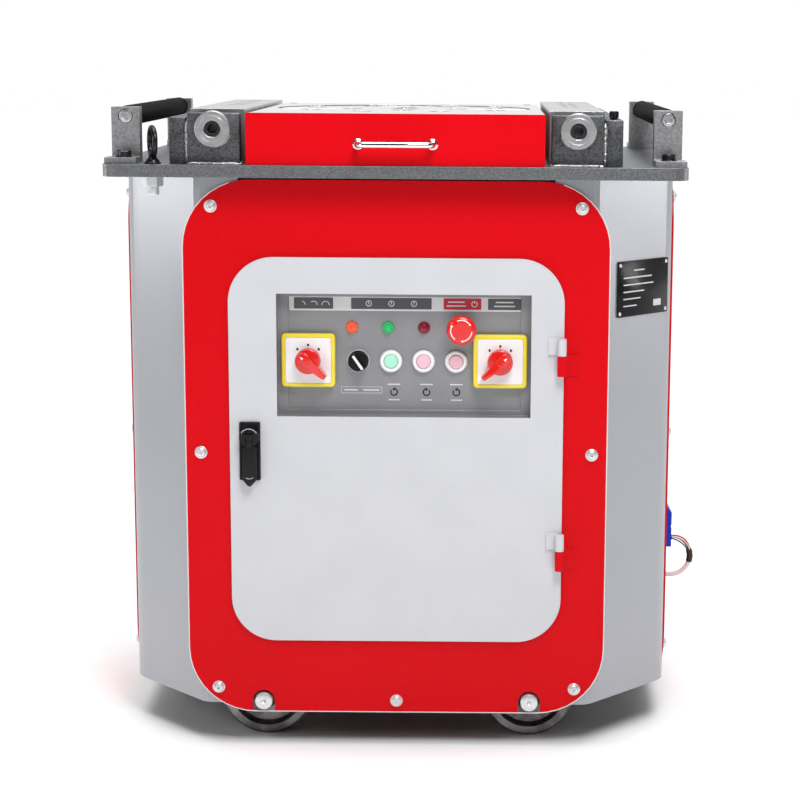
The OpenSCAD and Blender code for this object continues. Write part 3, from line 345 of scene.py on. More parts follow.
glossCoat = {"Specular IOR Level": 0.06, "Coat Weight": 0.05, "Coat Roughness": 0.06}
deepBlack = {"Specular IOR Level": 0.16}
# each wear colour below is partly edge wear and partly a painted highlight along rounded edges
finishes = {name: makeFinish(name, look) for name, look in {
    "redGloss": paint((0.66, 0.0012, 0.006), (0.63, 0.001, 0.005), (0.24, 0.32), shader=glossCoat,
        depth=0.008, patchScale=3, wear=((0.80, 0.10, 0.10), 0.35)),
    "silverSatin": paint((0.37, 0.38, 0.405), (0.35, 0.36, 0.385), (0.30, 0.38), grainScale=1800,
        patchScale=3, shader={"Metallic": 0.5}, wear=((0.75, 0.75, 0.78), 0.5)),
    "doorGrey": paint((0.60, 0.61, 0.64), (0.58, 0.59, 0.62), (0.36, 0.44), round=1.6,
        shader={"Coat Weight": 0.2, "Coat Roughness": 0.25}, wear=((0.8, 0.82, 0.86), 0.6)),
    "panelGrey": paint((0.30, 0.30, 0.315), (0.27, 0.27, 0.285), (0.36, 0.46), shader={"Metallic": 0.35},
        wear=((0.65, 0.65, 0.68), 0.7)),
    "frameBlack": paint((0.035, 0.036, 0.04), (0.022, 0.023, 0.026), (0.42, 0.55), shader=deepBlack),
    "motorBlue": paint((0.03, 0.06, 0.13), (0.025, 0.05, 0.11), (0.35, 0.48), wear=((0.2, 0.24, 0.3), 0.5)),
    "caseGreen": paint((0.05, 0.075, 0.06), (0.04, 0.06, 0.05), (0.45, 0.6), depth=0.12),
    "tableSteel": metal((0.235, 0.24, 0.25), (0.135, 0.138, 0.145), (0.34, 0.56), patchScale=560,
        grainScale=420, depth=0.10, specks=((0.27, 0.28, 0.29), 900, 0.16), wear=((0.50, 0.51, 0.53), 0.7)),
    "housingSteel": metal((0.125, 0.128, 0.135), (0.06, 0.062, 0.066), (0.34, 0.6), patchScale=300,
        grainScale=420, depth=0.12, specks=((0.2, 0.2, 0.21), 900, 0.16), wear=((0.55, 0.55, 0.57), 0.8)),
    "weldSteel": metal((0.62, 0.62, 0.63), (0.30, 0.29, 0.29), (0.28, 0.5), patchScale=240, grainScale=900,
        depth=0.12),
    "milledSteel": metal((0.42, 0.42, 0.43), (0.30, 0.30, 0.31), (0.32, 0.5), patchScale=260,
        grainScale=260, stretch=(14, 1, 14), depth=0.06, wear=((0.55, 0.55, 0.56), 0.7)),
    "barSteel": metal((0.56, 0.57, 0.58), (0.42, 0.43, 0.44), (0.28, 0.46), patchScale=70, grainScale=160,
        stretch=(22, 1, 22), depth=0.09, wear=((0.85, 0.85, 0.86), 0.7)),
    "groundSteel": metal((0.70, 0.70, 0.71), (0.665, 0.665, 0.675), (0.16, 0.28), patchScale=12,
        grainScale=240, stretch=(1, 18, 1), depth=0.02, wear=((0.9, 0.9, 0.9), 0.7)),
    "facedSteel": metal((0.72, 0.72, 0.73), (0.69, 0.69, 0.70), (0.16, 0.24), patchScale=12, grainScale=500,
        depth=0.01, wear=((0.9, 0.9, 0.9), 0.7), aroundZ=True, shader={"Anisotropic": 0.9}),
    "turnedSteel": metal((0.56, 0.56, 0.57), (0.44, 0.44, 0.45), (0.26, 0.4), patchScale=50, grainScale=600,
        depth=0.05),
    "oiledSteel": metal((0.34, 0.33, 0.32), (0.22, 0.21, 0.20), (0.22, 0.4), patchScale=60, depth=0.05),
    "darkScrew": metal((0.07, 0.07, 0.075), (0.045, 0.045, 0.05), (0.3, 0.45), patchScale=200, depth=0.04,
        wear=((0.35, 0.35, 0.36), 0.6), round=0.4),
    "blackOxide": metal((0.05, 0.05, 0.055), (0.03, 0.03, 0.034), (0.2, 0.34), patchScale=120, depth=0.04,
        wear=((0.3, 0.3, 0.31), 0.4)),
    "zincPlate": metal((0.76, 0.78, 0.80), (0.66, 0.68, 0.70), (0.32, 0.44), patchScale=300, depth=0.02,
        round=0.4, shader={"Metallic": 0.7}),
    "chromePlate": metal((0.86, 0.86, 0.87), (0.82, 0.82, 0.83), (0.04, 0.08), depth=0.004, round=0.4),
    "wheelIron": metal((0.30, 0.29, 0.285), (0.13, 0.125, 0.125), (0.36, 0.6), patchScale=30,
        grainScale=320, depth=0.14, wear=((0.6, 0.59, 0.58), 0.8)),
    "rollerBlack": plastic((0.004, 0.004, 0.005), (0.007, 0.007, 0.008), (0.5, 0.62), patchScale=30,
        depth=0.05, stretch=(1, 16, 1), shader={"Specular IOR Level": 0.01}),
    "blackPlastic": plastic((0.010, 0.010, 0.011), (0.015, 0.015, 0.017), (0.3, 0.42), shader=deepBlack),
    "greyPlastic": plastic((0.12, 0.125, 0.13), (0.10, 0.105, 0.11), (0.4, 0.5)),
    "whitePlastic": plastic((0.86, 0.87, 0.88), (0.82, 0.83, 0.85), (0.16, 0.24)),
    "redPlastic": plastic((0.78, 0.018, 0.012), (0.70, 0.012, 0.010), (0.18, 0.26),
        shader={"Coat Weight": 0.4, "Coat Roughness": 0.1}),
    "mintPlastic": plastic((0.45, 0.86, 0.68), (0.40, 0.80, 0.62), (0.22, 0.3)),
    "pinkPlastic": plastic((0.90, 0.56, 0.66), (0.86, 0.50, 0.60), (0.22, 0.3)),
    "yellowPlastic": plastic((0.86, 0.72, 0.06), (0.82, 0.66, 0.05), (0.2, 0.3)),
    "amberLens": plastic((0.85, 0.10, 0.03), (0.72, 0.05, 0.02), (0.08, 0.14),
        shader={"Emission Color": (1, 0.15, 0.05, 1), "Emission Strength": 0.25}),
    "greenLens": plastic((0.02, 0.48, 0.14), (0.015, 0.36, 0.10), (0.08, 0.14),
        shader={"Emission Color": (0.05, 0.8, 0.25, 1), "Emission Strength": 0.2}),
    "rubyLens": plastic((0.30, 0.005, 0.02), (0.22, 0.004, 0.015), (0.08, 0.14)),
    "plateBlack": plastic((0.006, 0.006, 0.007), (0.009, 0.009, 0.010), (0.16, 0.24),
        shader={"Specular IOR Level": 0.12, "Coat Weight": 0.05}),
    # this white is print, and also paints the highlight strip round the red panels
    "printAndHighlightWhite": plastic((0.75, 0.75, 0.76), (0.7, 0.7, 0.71), (0.4, 0.5)),
    "printGrey": plastic((0.09, 0.092, 0.1), (0.08, 0.082, 0.09), (0.35, 0.45)),
    "printRed": plastic((0.56, 0.005, 0.03), (0.5, 0.004, 0.025), (0.3, 0.4)),
    # this silver is print, and also paints the highlights on the latch handle
    "printAndHighlightSilver": plastic((0.56, 0.56, 0.58), (0.52, 0.52, 0.54), (0.3, 0.4), shader={"Metallic": 0.4}),
    "plugBlue": plastic((0.004, 0.05, 0.60), (0.003, 0.04, 0.52), (0.2, 0.3),
        shader={"Specular IOR Level": 0.15}),
    "cableWhite": plastic((0.72, 0.72, 0.71), (0.66, 0.66, 0.65), (0.42, 0.55)),
    "sleeveBlack": plastic((0.012, 0.012, 0.013), (0.018, 0.018, 0.02), (0.45, 0.6), depth=0.06),
    "wireRed": plastic((0.6, 0.03, 0.03), (0.52, 0.02, 0.02), (0.3, 0.4)),
    "wireBlue": plastic((0.02, 0.05, 0.3), (0.02, 0.04, 0.25), (0.3, 0.4)),
    "wireBrown": plastic((0.10, 0.035, 0.015), (0.08, 0.03, 0.012), (0.3, 0.4)),
    "wireCream": plastic((0.75, 0.66, 0.5), (0.7, 0.6, 0.45), (0.3, 0.4)),
    "beltRubber": plastic((0.018, 0.018, 0.018), (0.026, 0.026, 0.026), (0.6, 0.75), grainScale=500),
}.items()}
print("finishes made:", len(finishes))

# cable on the right side

cable = {
    "route": [(383, 0, 178), (394, 0, 178), (401.2, 0, 179), (408, 0, 181.8), (413.8, 0, 186.2),
              (418.2, 0, 192), (421, 0, 198.8), (422, 0, 206), (421, 0, 213.2), (418.2, 0, 220),
              (413.8, 0, 225.8), (408, 0, 230.2), (401.2, 0, 233), (394, 0, 234), (392, 0, 234)],
    "joint": 7,          # index of the point where the sheath ends in its sleeve
    "bowCentre": (394, 0, 206),
    "thick": 7,
    "wireThick": 2.2,
    "wires": (("Red", 3.4, 2.2), ("Blue", -3.2, -1.6), ("Brown", -0.6, 3.4), ("Cream", 2.0, -3.6)),
    "sleeve": (196, 226, 4.6),   # from and to, measured as heights, and radius
    "wireEnds": (393, 234),
    "plug": {"at": (380, 25, 225), "width": 50, "face": 391.4, "ribs": (-15, -5, 5, 15),
             "ribTop": 392.8, "ribHeights": (240, 252)},
}


def cordCurve(name, points, thick, finish, body):
    data = bpy.data.curves.new(name, "CURVE")
    data.dimensions = "3D"
    data.bevel_depth = thick / 2 * mm
    data.bevel_resolution = 5
    data.use_fill_caps = True
    line = data.splines.new("POLY")
    line.points.add(len(points) - 1)
    for spot, point in zip(line.points, points):
        spot.co = (*(Vector(point) * mm), 1)
    data.materials.append(finishes[finish])
    made = bpy.data.objects.new(name, data)
    scene.collection.objects.link(made)
    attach(made, body)
    return made


def smoothLine(points, parts=4):  # a curve through the points
    line = [Vector(p) for p in points]
    made = []
    for i in range(len(line) - 1):
        a, b, c, d = line[max(i - 1, 0)], line[i], line[i + 1], line[min(i + 2, len(line) - 1)]
        for k in range(parts):
            t = k / parts
            made.append(0.5 * (2 * b + (c - a) * t + (2 * a - 5 * b + 4 * c - d) * t ** 2
                               + (3 * b - a - 3 * c + d) * t ** 3))
    return made + [line[-1]]


def addPlug(mesh):
    p = cable["plug"]
    outline = [(0, 0), (11.2, 0), (12, 1), (12, 28), (11.2, 29), (11.2, 32), (12, 33), (12, 51), (5.5, 60.5),
               (0, 61)]
    stack(mesh, [[(x, y, z) for x, y in outline] for z in (0, p["width"])], upright(*p["at"]))
    low, high = p["ribHeights"]
    for y in p["ribs"]:
        softBlock(mesh, (p["face"], y - 1.5, low), (p["ribTop"], y + 1.5, high), 0.6)
    ring = [(5.6, 0), (5.6, 1.4), (4.2, 2.6), (4.2, 3.2), (0, 3.2)]
    turned(mesh, ring, facing((p["face"], 0, cable["wireEnds"][1]), (1, 0, 0)), 32)


def addSleeve(mesh):
    low, high, radius = cable["sleeve"]
    middle = [p for p in smoothLine(cable["route"]) if p.x > 410 and low <= p.z <= high - 8]
    count = len(middle)
    radii = [radius * (0.86 if i in (0, count - 1) else 1 + 0.04 * math.sin(i * 1.7)) for i in range(count)]
    swept(mesh, middle, radii, 20)


def addCable(c):
    white = smoothLine(c["route"][:c["joint"] + 1])
    sheath = cordCurve("sideCableSheath", white, c["thick"], "cableWhite", "machine")
    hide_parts("side_cable")
    sleeve = piece("sideCableSleeve", addSleeve, "sleeveBlack", "machine")
    plug = piece("sidePlug", addPlug, "plugBlue", "machine", ["cable_plug"], 1.2)
    rest = c["route"][c["joint"]:]
    for name, outwards, sideways in c["wires"]:
        line = []
        for i, point in enumerate(rest):
            swell = math.sin(math.pi * i / (len(rest) - 1))
            away = (Vector(point) - Vector(c["bowCentre"])).normalized()
            line.append(Vector(point) + away * outwards * swell + Vector((0, sideways * (0.3 + swell), 0)))
        line[-1] = Vector((c["wireEnds"][0], sideways * 0.3, c["wireEnds"][1] - outwards * 0.3))
        line = smoothLine(line)
        wire = cordCurve("sideWire" + name, line, c["wireThick"], "wire" + name, "machine")


addCable(cable)
print("cable laid")

# finishes of the pieces that keep their shape

keptFinishes = {
    "redGloss": ["front_panel", "rear_panel", "side_panels", "cover_frame", "scale_tray", "hinge_brackets"],
    "silverSatin": ["corner_covers"],
    "doorGrey": ["door"],
    "panelGrey": ["control_panel"],
    "frameBlack": ["base_frame"],
    "tableSteel": ["table_plate"],
    "milledSteel": ["roller_brackets"],
    "barSteel": ["left_support_bar", "right_support_bar"],
    "groundSteel": ["cover_plate"],
    "facedSteel": ["turntable_disc"],
    "oiledSteel": ["main_shaft", "bull_gear", "shaft_bearings", "countershaft", "input_shaft"],
    "darkScrew": ["left_screw", "right_screw"],
    "blackPlastic": ["latch_spindle"],
    "caseGreen": ["gearbox_case"],
    "turnedSteel": ["large_pulley", "motor_rotor"],
    "motorBlue": ["motor_body"],
    "beltRubber": ["drive_belts"],
    "rollerBlack": ["left_roller", "right_roller"],
    "wheelIron": ["front_left_wheel", "front_right_wheel", "rear_left_wheel", "rear_right_wheel"],
    "plugBlue": ["side_socket"],
    "greyPlastic": ["switchgear"],
}
for finishName, members in keptFinishes.items():
    for member in members:
        for holder in nodes[member].material_slots:
            holder.material = finishes[finishName]
print("kept pieces finished")

# cabinet fastenings

flangeBolt = {
    "profile": [(0, -0.2), (8.3, -0.2), (8.5, 0.3), (8.4, 1.2), (7.6, 1.8), (6.6, 2), (6.4, 2.9),
                (5.9, 3.9), (4.9, 4.7), (3.6, 5.05), (2.6, 5.1, 6), (2.35, 4.9, 6), (2.3, 2.6, 6), (0, 2.2)],
    "front": [(-243.5, 735), (243.5, 735), (-261, 407), (261, 407), (-242, 82), (242, 82), (0, 64)],
    "sideHeights": (740, 408, 100),
    "sideY": (-95, 119),
    "faces": (-272, 296, 377),   # front, rear, side
}


def addPanelBolts(mesh):
    b = flangeBolt
    frontFace, rearFace, sideFace = b["faces"]
    for i, (x, z) in enumerate(b["front"]):
        turned(mesh, b["profile"], facing((x, frontFace, z), (0, -1, 0), 17 * i), 36)
        turned(mesh, b["profile"], facing((x, rearFace, z), (0, 1, 0), 23 * i), 36)
    for side in (left, right):
        for i, z in enumerate(b["sideHeights"]):
            for y in b["sideY"]:
                turned(mesh, b["profile"], facing((side * sideFace, y, z), (side, 0, 0), 31 * i), 36)


piece("panelBolts", addPanelBolts, "zincPlate", "machine", ["panel_bolts"])

axleEnds = {"x": 181, "z": 62.5, "ends": (-276, 300), "radius": 12, "rod": 10, "inside": (-262, 286)}


def addAxles(mesh):
    a = axleEnds
    r = a["radius"]
    for side in (left, right):
        x = side * a["x"]
        for end, inner, way in zip(a["ends"], a["inside"], (-1, 1)):
            length = abs(end - inner)
            head = [(0, 0), (r - 1, 0), (r, 1), (r, length - 2.2), (r - 0.6, length - 0.9),
                    (r - 2.4, length - 0.1), (3.2, length), (2.6, length - 0.6), (0, length - 2.6)]
            turned(mesh, head, facing((x, inner, a["z"]), (0, way, 0)), 40)
        swept(mesh, [(x, a["inside"][0] - 1, a["z"]), (x, a["inside"][1] + 1, a["z"])], a["rod"], 40)


piece("wheelAxles", addAxles, "zincPlate", "machine", ["wheel_axles"])

ratingPlate = {
    "at": (329, -190.2, 624),
    "size": (111, 75, 3),
    "bends": ((266, -261), (356, -159)),   # of the cover, on either side of the plate
    "offset": -1.7,
    "rows": ((4, 24), (0, 62), (0, 66), (0, 46), (0, 38), (0, 30)),
    "rivetInset": 5,
}


def plateFrame(p):
    (ax, ay), (bx, by) = p["bends"]
    turn = Matrix.Rotation(math.atan2(by - ay, bx - ax), 4, "Z")
    return Matrix.Translation(p["at"]) @ turn @ upright(0, p["offset"], 0)


def addRatingPlate(mesh):
    w, h, r = ratingPlate["size"]
    platen(mesh, w, h, r, [(0, 0), (0, 0.8), (0.5, 1.1)], plateFrame(ratingPlate))


def addRatingPrint(mesh):  # plain bars where a plate has its rows
    w, h, r = ratingPlate["size"]
    place = plateFrame(ratingPlate)
    for i, (indent, length) in enumerate(ratingPlate["rows"]):
        middle = (-w / 2 + 12 + indent + length / 2 + (18 if i == 0 else 0), h / 2 - 13 - i * 9.5, 1.05)
        printed(mesh, length, 1.8, 0.8, place @ Matrix.Translation(middle))
    printed(mesh, 17, 9, 1, place @ Matrix.Translation((w / 2 - 24, -h / 2 + 15, 1.05)))


def addRatingRivets(mesh):
    w, h, r = ratingPlate["size"]
    inset = ratingPlate["rivetInset"]
    rivet = [(0, -0.2), (2.6, -0.2), (2.6, 0.2), (2.1, 0.9), (1.1, 1.4), (0, 1.5)]
    for x in (left, right):
        for y in (-1, 1):
            spot = Matrix.Translation((x * (w / 2 - inset), y * (h / 2 - inset), 1))
            turned(mesh, rivet, plateFrame(ratingPlate) @ spot, 20)


piece("ratingPlate", addRatingPlate, "plateBlack", "machine", ["rating_plate"])
piece("ratingPlatePrint", addRatingPrint, "printAndHighlightSilver", "machine")
piece("ratingPlateRivets", addRatingRivets, "zincPlate", "machine")

# a pale strip stands for the highlight on the rounded edges of the red panels
edgeHighlightStrip = {"size": (562, 722), "radius": 90, "middle": 409, "thick": 0.9, "front": -271.4, "back": 295.4}


def addEdgeHighlightStrip(mesh):  # pale strip round the red panels, a painted highlight on their rounded edges
    t = edgeHighlightStrip
    w, h = t["size"]
    for y in (t["front"], t["back"]):
        outline = roundedOutline(w + 0.6, h + 0.6, t["radius"], 10)
        quarter = len(outline) // 4   # starts and ends part of the way up the two top corners
        path = [(x, y, t["middle"] + z) for x, z in outline[quarter + 2:] + outline[:quarter - 2]]
        swept(mesh, path, t["thick"], 8)


piece("panelEdgeHighlights", addEdgeHighlightStrip, "printAndHighlightWhite", "machine")
print("cabinet fastened")

# door furniture

latch = {
    "x": -195, "pivot": 430, "face": -276,
    "case": (28, 79, 2.2),
    "caseMiddle": 410,
    "front": -289.9,
}


def addLatchCase(mesh):
    w, h, r = latch["case"]
    at = upright(latch["x"], latch["face"] + 0.05, latch["caseMiddle"])
    platen(mesh, w, h, r, [(0, 0), (0, 3), (0.4, 3.7), (1.2, 4), (2.6, 4), (3.2, 3.4), (3.3, 2.2)], at)
    turned(mesh, [(8.1, -1), (8.1, -16)], facing((latch["x"], latch["face"], latch["pivot"])), 32)


def addLatchHandle(mesh):
    x, pivot, front = latch["x"], latch["pivot"], latch["front"]
    half = [(9.6, 0), (9.6, -39), (8.8, -43), (2.4, -50.4), (1, -51.2)]
    head = [(8.6, 2.5), (5.4, 3.6)]
    outline = ([(-a, b) for a, b in half] + half[::-1] + head + [(-a, b) for a, b in head[::-1]])
    at = upright(x, front + 7.2, pivot - 15)
    shaped(mesh, outline, [(1.2, 0), (0.2, 1), (0, 2), (0, 4.6), (0.7, 6.2), (2.2, 7), (4.5, 7.2)], at)
    softBlock(mesh, (x - 4.8, front + 0.3, pivot - 18), (x + 4.8, front + 7, pivot + 2.6), 1.2)
    pin = [(0, 0), (3.7, 0), (3.7, 9.6), (0, 9.6)]
    turned(mesh, pin, facing((x - 4.8, front + 3.6, pivot), (1, 0, 0)), 24)


def addLatchHighlights(mesh):  # painted highlights on the edges of the fork and of the finger lip, as thin silver arcs
    x, pivot, front = latch["x"], latch["pivot"], latch["front"]
    arcBand(mesh, upright(x, front - 0.3, pivot), 12.2, 0.9, 32, 116, 0.5)
    arcBand(mesh, upright(x, front + 0.4, pivot - 48), 7.4, 0.8, 232, 80, 0.6)


piece("latchCase", addLatchCase, "blackPlastic", "door", ["latch_case"])
piece("latchHandle", addLatchHandle, "blackPlastic", "latch_handle", ["latch_handle"])
piece("latchHighlights", addLatchHighlights, "printAndHighlightSilver", "latch_handle")

hinge = {"x": 219, "y": -286, "heights": (278, 542), "knuckle": 22.3}


def addHingeCaps(mesh):  # domed ends of the knuckles
    h = hinge
    for z in h["heights"]:
        turned(mesh, [(0, 0), (5.4, 0), (5.2, 0.7), (3.6, 1.5), (0, 1.8)],
               facing((h["x"], h["y"], z + h["knuckle"]), (0, 0, 1)), 28)


piece("hingeCaps", addHingeCaps, "doorGrey", "door")

print("door furniture made")

# control panel

plateY = -250
labels = {
    "strip": (10.75, 606, 308.5, 20),     # middle x, middle z, width, height
    "height": 15,
    "blanks": ((-111, 52, "printGrey"), (-7.5, 107, "printGrey"), (87, 50, "printRed"),
               (143, 44, "printGrey")),
    "small": (-47.5, 489.5, 55, 9),
    "arrows": ((-4, 1), (39.5, -1), (79.5, 1)),
    "arrowZ": 487,
    "angles": (-127, 16, (80, 130, 180)),   # first place, step and bends
    "phases": (-37.5, 30, 3),
}


def onPanel(x, z, out=0.05, roll=0):
    return upright(x, plateY - out, z, roll)


def addStrip(mesh):
    x, z, w, h = labels["strip"]
    platen(mesh, w, h, 1.5, [(0, 0), (0, 0.6), (0.3, 0.8)], onPanel(x, z, 0.02), steps=3)


def addBlanks(kind):
    def build(mesh):
        for x, w, finish in labels["blanks"]:
            if finish == kind:
                platen(mesh, w, labels["height"], 0.8, [(0, 0), (0, 0.3), (0.2, 0.45)],
                       onPanel(x, labels["strip"][1], 0.8), steps=2)
    return build


def addMarks(mesh):  # plain signs in place of words
    z = labels["strip"][1]
    out = 1.22
    first, step, bends = labels["angles"]
    for i, sweep in enumerate(bends):
        arcBand(mesh, onPanel(first + step * i, z - 2.5, out), 5, 1.1, 0, sweep, 0.12)
    first, step, count = labels["phases"]
    for i in range(count):
        arcBand(mesh, onPanel(first + step * i, z, out), 3.6, 1.1, 0, 360, 0.12)
        printed(mesh, 1.1, 5, 0.4, onPanel(first + step * i, z + 1, out))
    for dz, w in ((2.6, 22), (-2.6, 26)):
        printed(mesh, w, 1.8, 0.7, onPanel(79, z + dz, out))
        printed(mesh, w + 2, 1.8, 0.7, onPanel(143, z + dz, out))
    arcBand(mesh, onPanel(103, z, out), 3.6, 1.1, 110, 320, 0.12)
    printed(mesh, 1.1, 4.4, 0.4, onPanel(103, z + 2.6, out))
    x, smallZ, w, h = labels["small"]
    platen(mesh, w, h, 0.6, [(0, 0), (0, 0.12), (0.6, 0.12), (0.6, 0)], onPanel(x, smallZ, 0.02), True, 2)
    for part, length in ((-14, 18), (13, 22)):
        printed(mesh, length, 1.6, 0.6, onPanel(x + part, smallZ, 0.02))
    for ax, _ in labels["arrows"]:
        for dz, length in ((10.5, 17), (-10.5, 15)):
            printed(mesh, length, 1.7, 0.6, onPanel(ax, labels["arrowZ"] + dz, 0.02))


def addArrows(mesh):
    for x, way in labels["arrows"]:
        arcBand(mesh, onPanel(x, labels["arrowZ"], 0.02), 4.4, 1.7, 90 + 55 * way, 290 * way, 0.15, 3.6)


piece("labelStrip", addStrip, "printAndHighlightWhite", "door")
piece("labelBlanks", addBlanks("printGrey"), "printGrey", "door")
piece("labelBlankRed", addBlanks("printRed"), "printRed", "door")
piece("labelMarks", addMarks, "printAndHighlightWhite", "door")
piece("turnArrows", addArrows, "blackPlastic", "door")

lamps = {"z": 574, "lenses": ((-60, "amberLens"), (-12, "greenLens"), (36, "rubyLens")), "collar": 8.0}


def addLampCollars(mesh):
    for x, _ in lamps["lenses"]:
        turned(mesh, [(lamps["collar"], 0), (lamps["collar"], 0.8), (7.6, 1.2), (6.4, 1.2), (6.1, 0)],
               onPanel(x, lamps["z"]), 32, closed=True)
        turned(mesh, [(0, 0.5), (6, 0.5), (6, 20), (3, 22), (0, 22)],
               facing((x, plateY + 0.5, lamps["z"]), (0, 1, 0)), 24)


def addLens(x):
    def build(mesh):
        turned(mesh, [(0, 0), (7.4, 0.9), (7.6, 2.2, 8), (6.6, 3.2, 8), (5.6, 3.6, 8), (5.2, 5.6, 8),
                      (4.2, 7.4, 8), (2.4, 8.7, 8), (0, 9)], onPanel(x, lamps["z"], roll=22.5), 48)
    return build


for number, (x, lensFinish) in enumerate(lamps["lenses"]):
    piece("lampLens%d" % (number + 1), addLens(x), lensFinish, "door",
          [] if number else ["indicator_lamps"], crease=20)
piece("lampCollars", addLampCollars, "blackPlastic", "door")

buttons = {
    "z": 529, "xs": (-51.5, -8, 35.5, 79),
    "bezel": [(15, 0), (15, 3.2), (14.6, 4.6), (13.6, 5.7), (12.2, 6), (10.6, 5.7), (9.75, 4.9), (9.6, 3.6),
              (9.6, 0)],
    "cap": [(0, -5.4), (9.3, -5.4), (9.3, 4.9), (8.9, 5.9), (8.2, 6.4), (7.3, 6.5), (6.9, 6.2),
            (6.3, 6), (3, 5.8), (0, 5.75)],
    "ring": [(15.0, 0), (15.0, 2.4), (14.5, 3), (13.9, 2.4), (13.9, 0)],
}


def addBezels(mesh):
    for x in buttons["xs"][1:]:
        turned(mesh, buttons["bezel"], onPanel(x, buttons["z"]), 56, closed=True)


def addSelectorBezel(mesh):
    turned(mesh, buttons["ring"], onPanel(buttons["xs"][0], buttons["z"]), 56, closed=True)


def contactBlock(mesh, x, z):
    softBlock(mesh, (x - 14, plateY + 10, z - 19), (x + 14, plateY + 46, z + 19), 1.2)


def addContactBlocks(mesh):  # behind the panel, one under each button
    z = buttons["z"]
    sleeve = [(9.6, 0), (10.9, 0), (10.9, 10), (9.6, 10)]
    for x in buttons["xs"]:
        turned(mesh, sleeve, facing((x, plateY + 0.3, z), (0, 1, 0)), 40, closed=True)
        contactBlock(mesh, x, z)
        for sx in (-1, 1):
            for dz in (-14, 14):
                turned(mesh, [(0, 0), (3.2, 0), (3.2, 0.8), (0, 0.8)],
                       facing((x + sx * 7, plateY + 45.6, z + dz), (0, 1, 0)), 16)


def addCap(x):
    def build(mesh):
        turned(mesh, buttons["cap"], onPanel(x, buttons["z"], 0), 48)
    return build


piece("buttonBezels", addBezels, "whitePlastic", "door", ["control_bezels"])
piece("selectorBezel", addSelectorBezel, "printAndHighlightWhite", "door")
piece("contactBlocks", addContactBlocks, "greyPlastic", "door")
for body, capFinish, slot, x in (("start_button", "mintPlastic", "cap_green", buttons["xs"][1]),
                                 ("forward_button", "pinkPlastic", "cap_pink", buttons["xs"][2]),
                                 ("reverse_button", "pinkPlastic", "cap_pink", buttons["xs"][3])):
    piece(body.replace("_b", "B"), addCap(x), capFinish, body, [body])

selector = {"lean": 35, "grip": (7.4, 25, 2.4), "radius": 13.3}


def addSelector(mesh):
    x, z = buttons["xs"][0], buttons["z"]
    r = selector["radius"]
    turned(mesh, [(0, -8), (9.3, -8), (9.3, 6), (r, 6), (r, 10.6), (r - 0.8, 11.7), (r - 2, 12), (0, 12)],
           onPanel(x, z, 0), 48)
    w, h, c = selector["grip"]
    platen(mesh, w, h, c, [(-0.6, 11.5), (0, 15), (0, 19.4), (0.7, 20.6), (1.5, 20.9)],
           onPanel(x, z, 0, selector["lean"]))


def addSelectorPointer(mesh):
    h = selector["grip"][1]
    platen(mesh, 3.4, h - 2.6, 1.2, [(0, 20.7), (0, 21.1), (0.2, 21.2)],
           onPanel(buttons["xs"][0], buttons["z"], 0, selector["lean"]), steps=3)


piece("selectorKnob", addSelector, "blackPlastic", "selector", ["selector_knob"])
piece("selectorPointer", addSelectorPointer, "whitePlastic", "selector")

stop = {"x": 86, "z": 574, "radius": 20, "arrows": (114, 234, 354), "sweep": -76}


def addStopBase(mesh):
    x, z = stop["x"], stop["z"]
    turned(mesh, [(15, 0), (15, 6), (14.2, 7), (12.8, 7.4), (12.2, 11.2), (11.4, 12), (9.6, 12), (9.6, 0)],
           onPanel(x, z), 48, closed=True)
    contactBlock(mesh, x, z)


def addStopHead(mesh):
    r = stop["radius"]
    turned(mesh, [(0, -4.4), (9.3, -4.4), (9.3, 17.5), (14, 18.6), (r - 1.4, 19.4), (r - 0.2, 20.8), (r, 23),
                  (r - 0.3, 26), (r - 1.4, 28.8), (r - 3.4, 30.8), (r - 6.4, 31.8), (r - 9, 32), (0, 32)],
           onPanel(stop["x"], stop["z"], 0), 64)


def addStopArrows(mesh):
    for start in stop["arrows"]:
        arcBand(mesh, onPanel(stop["x"], stop["z"], 31.2), 14, 1.3, start, stop["sweep"], 0.75, 2.6)


piece("stopBase", addStopBase, "blackPlastic", "door", ["stop_button_base"])
piece("stopHead", addStopHead, "redPlastic", "stop_button", ["stop_button_head"])
piece("stopArrows", addStopArrows, "whitePlastic", "stop_button")

switches = {
    "z": 530.5, "side": 72,
    "knobs": (("left_switch", -117.7, 48), ("right_switch", 137.7, -48)),
    "dots": (-43, 0, 43),
    "dotReach": 20.8,
    "lever": [(-6.6, 12), (-4, 14.4), (4, 14.4), (6.6, 12), (7.6, 5), (7, -4), (3.4, -29.5), (2.2, -31.6),
              (-2.2, -31.6), (-3.4, -29.5), (-7, -4), (-7.6, 5)],
}


def addSwitchFrames(mesh):
    s = switches["side"]
    for _, x, _ in switches["knobs"]:
        platen(mesh, s, s, 6, [(1.4, 0.1), (0.4, 1), (0, 2.4), (0, 7.4), (0.8, 9.2), (2.2, 9.9), (5, 9.9),
                               (5.4, 9.3)], onPanel(x, switches["z"], 3))


def addSwitchFields(mesh):
    s = switches["side"] - 12
    for _, x, _ in switches["knobs"]:
        platen(mesh, s, s, 3, [(0, 9), (0, 9.7), (0.4, 10)], onPanel(x, switches["z"], 3), steps=4)


def addSwitchDots(mesh):
    for _, x, _ in switches["knobs"]:
        for angle in switches["dots"]:
            dz, dx = spoke(switches["dotReach"], math.radians(angle))
            at = onPanel(x + dx, switches["z"] + dz, 3)
            platen(mesh, 2.8, 3.4, 0.8, [(0, 9.9), (0, 10.15)], at, steps=2)


def addSwitchStacks(mesh):
    z = switches["z"]
    for _, x, _ in switches["knobs"]:
        turned(mesh, [(4.2, -1), (10.8, -1), (10.8, 4), (4.2, 4)], facing((x, plateY, z), (0, 1, 0)), 32,
               closed=True)
        for i in range(3):
            y = plateY + 4 + i * 16.7
            softBlock(mesh, (x - 22, y, z - 22), (x + 22, y + 16, z + 22), 1)


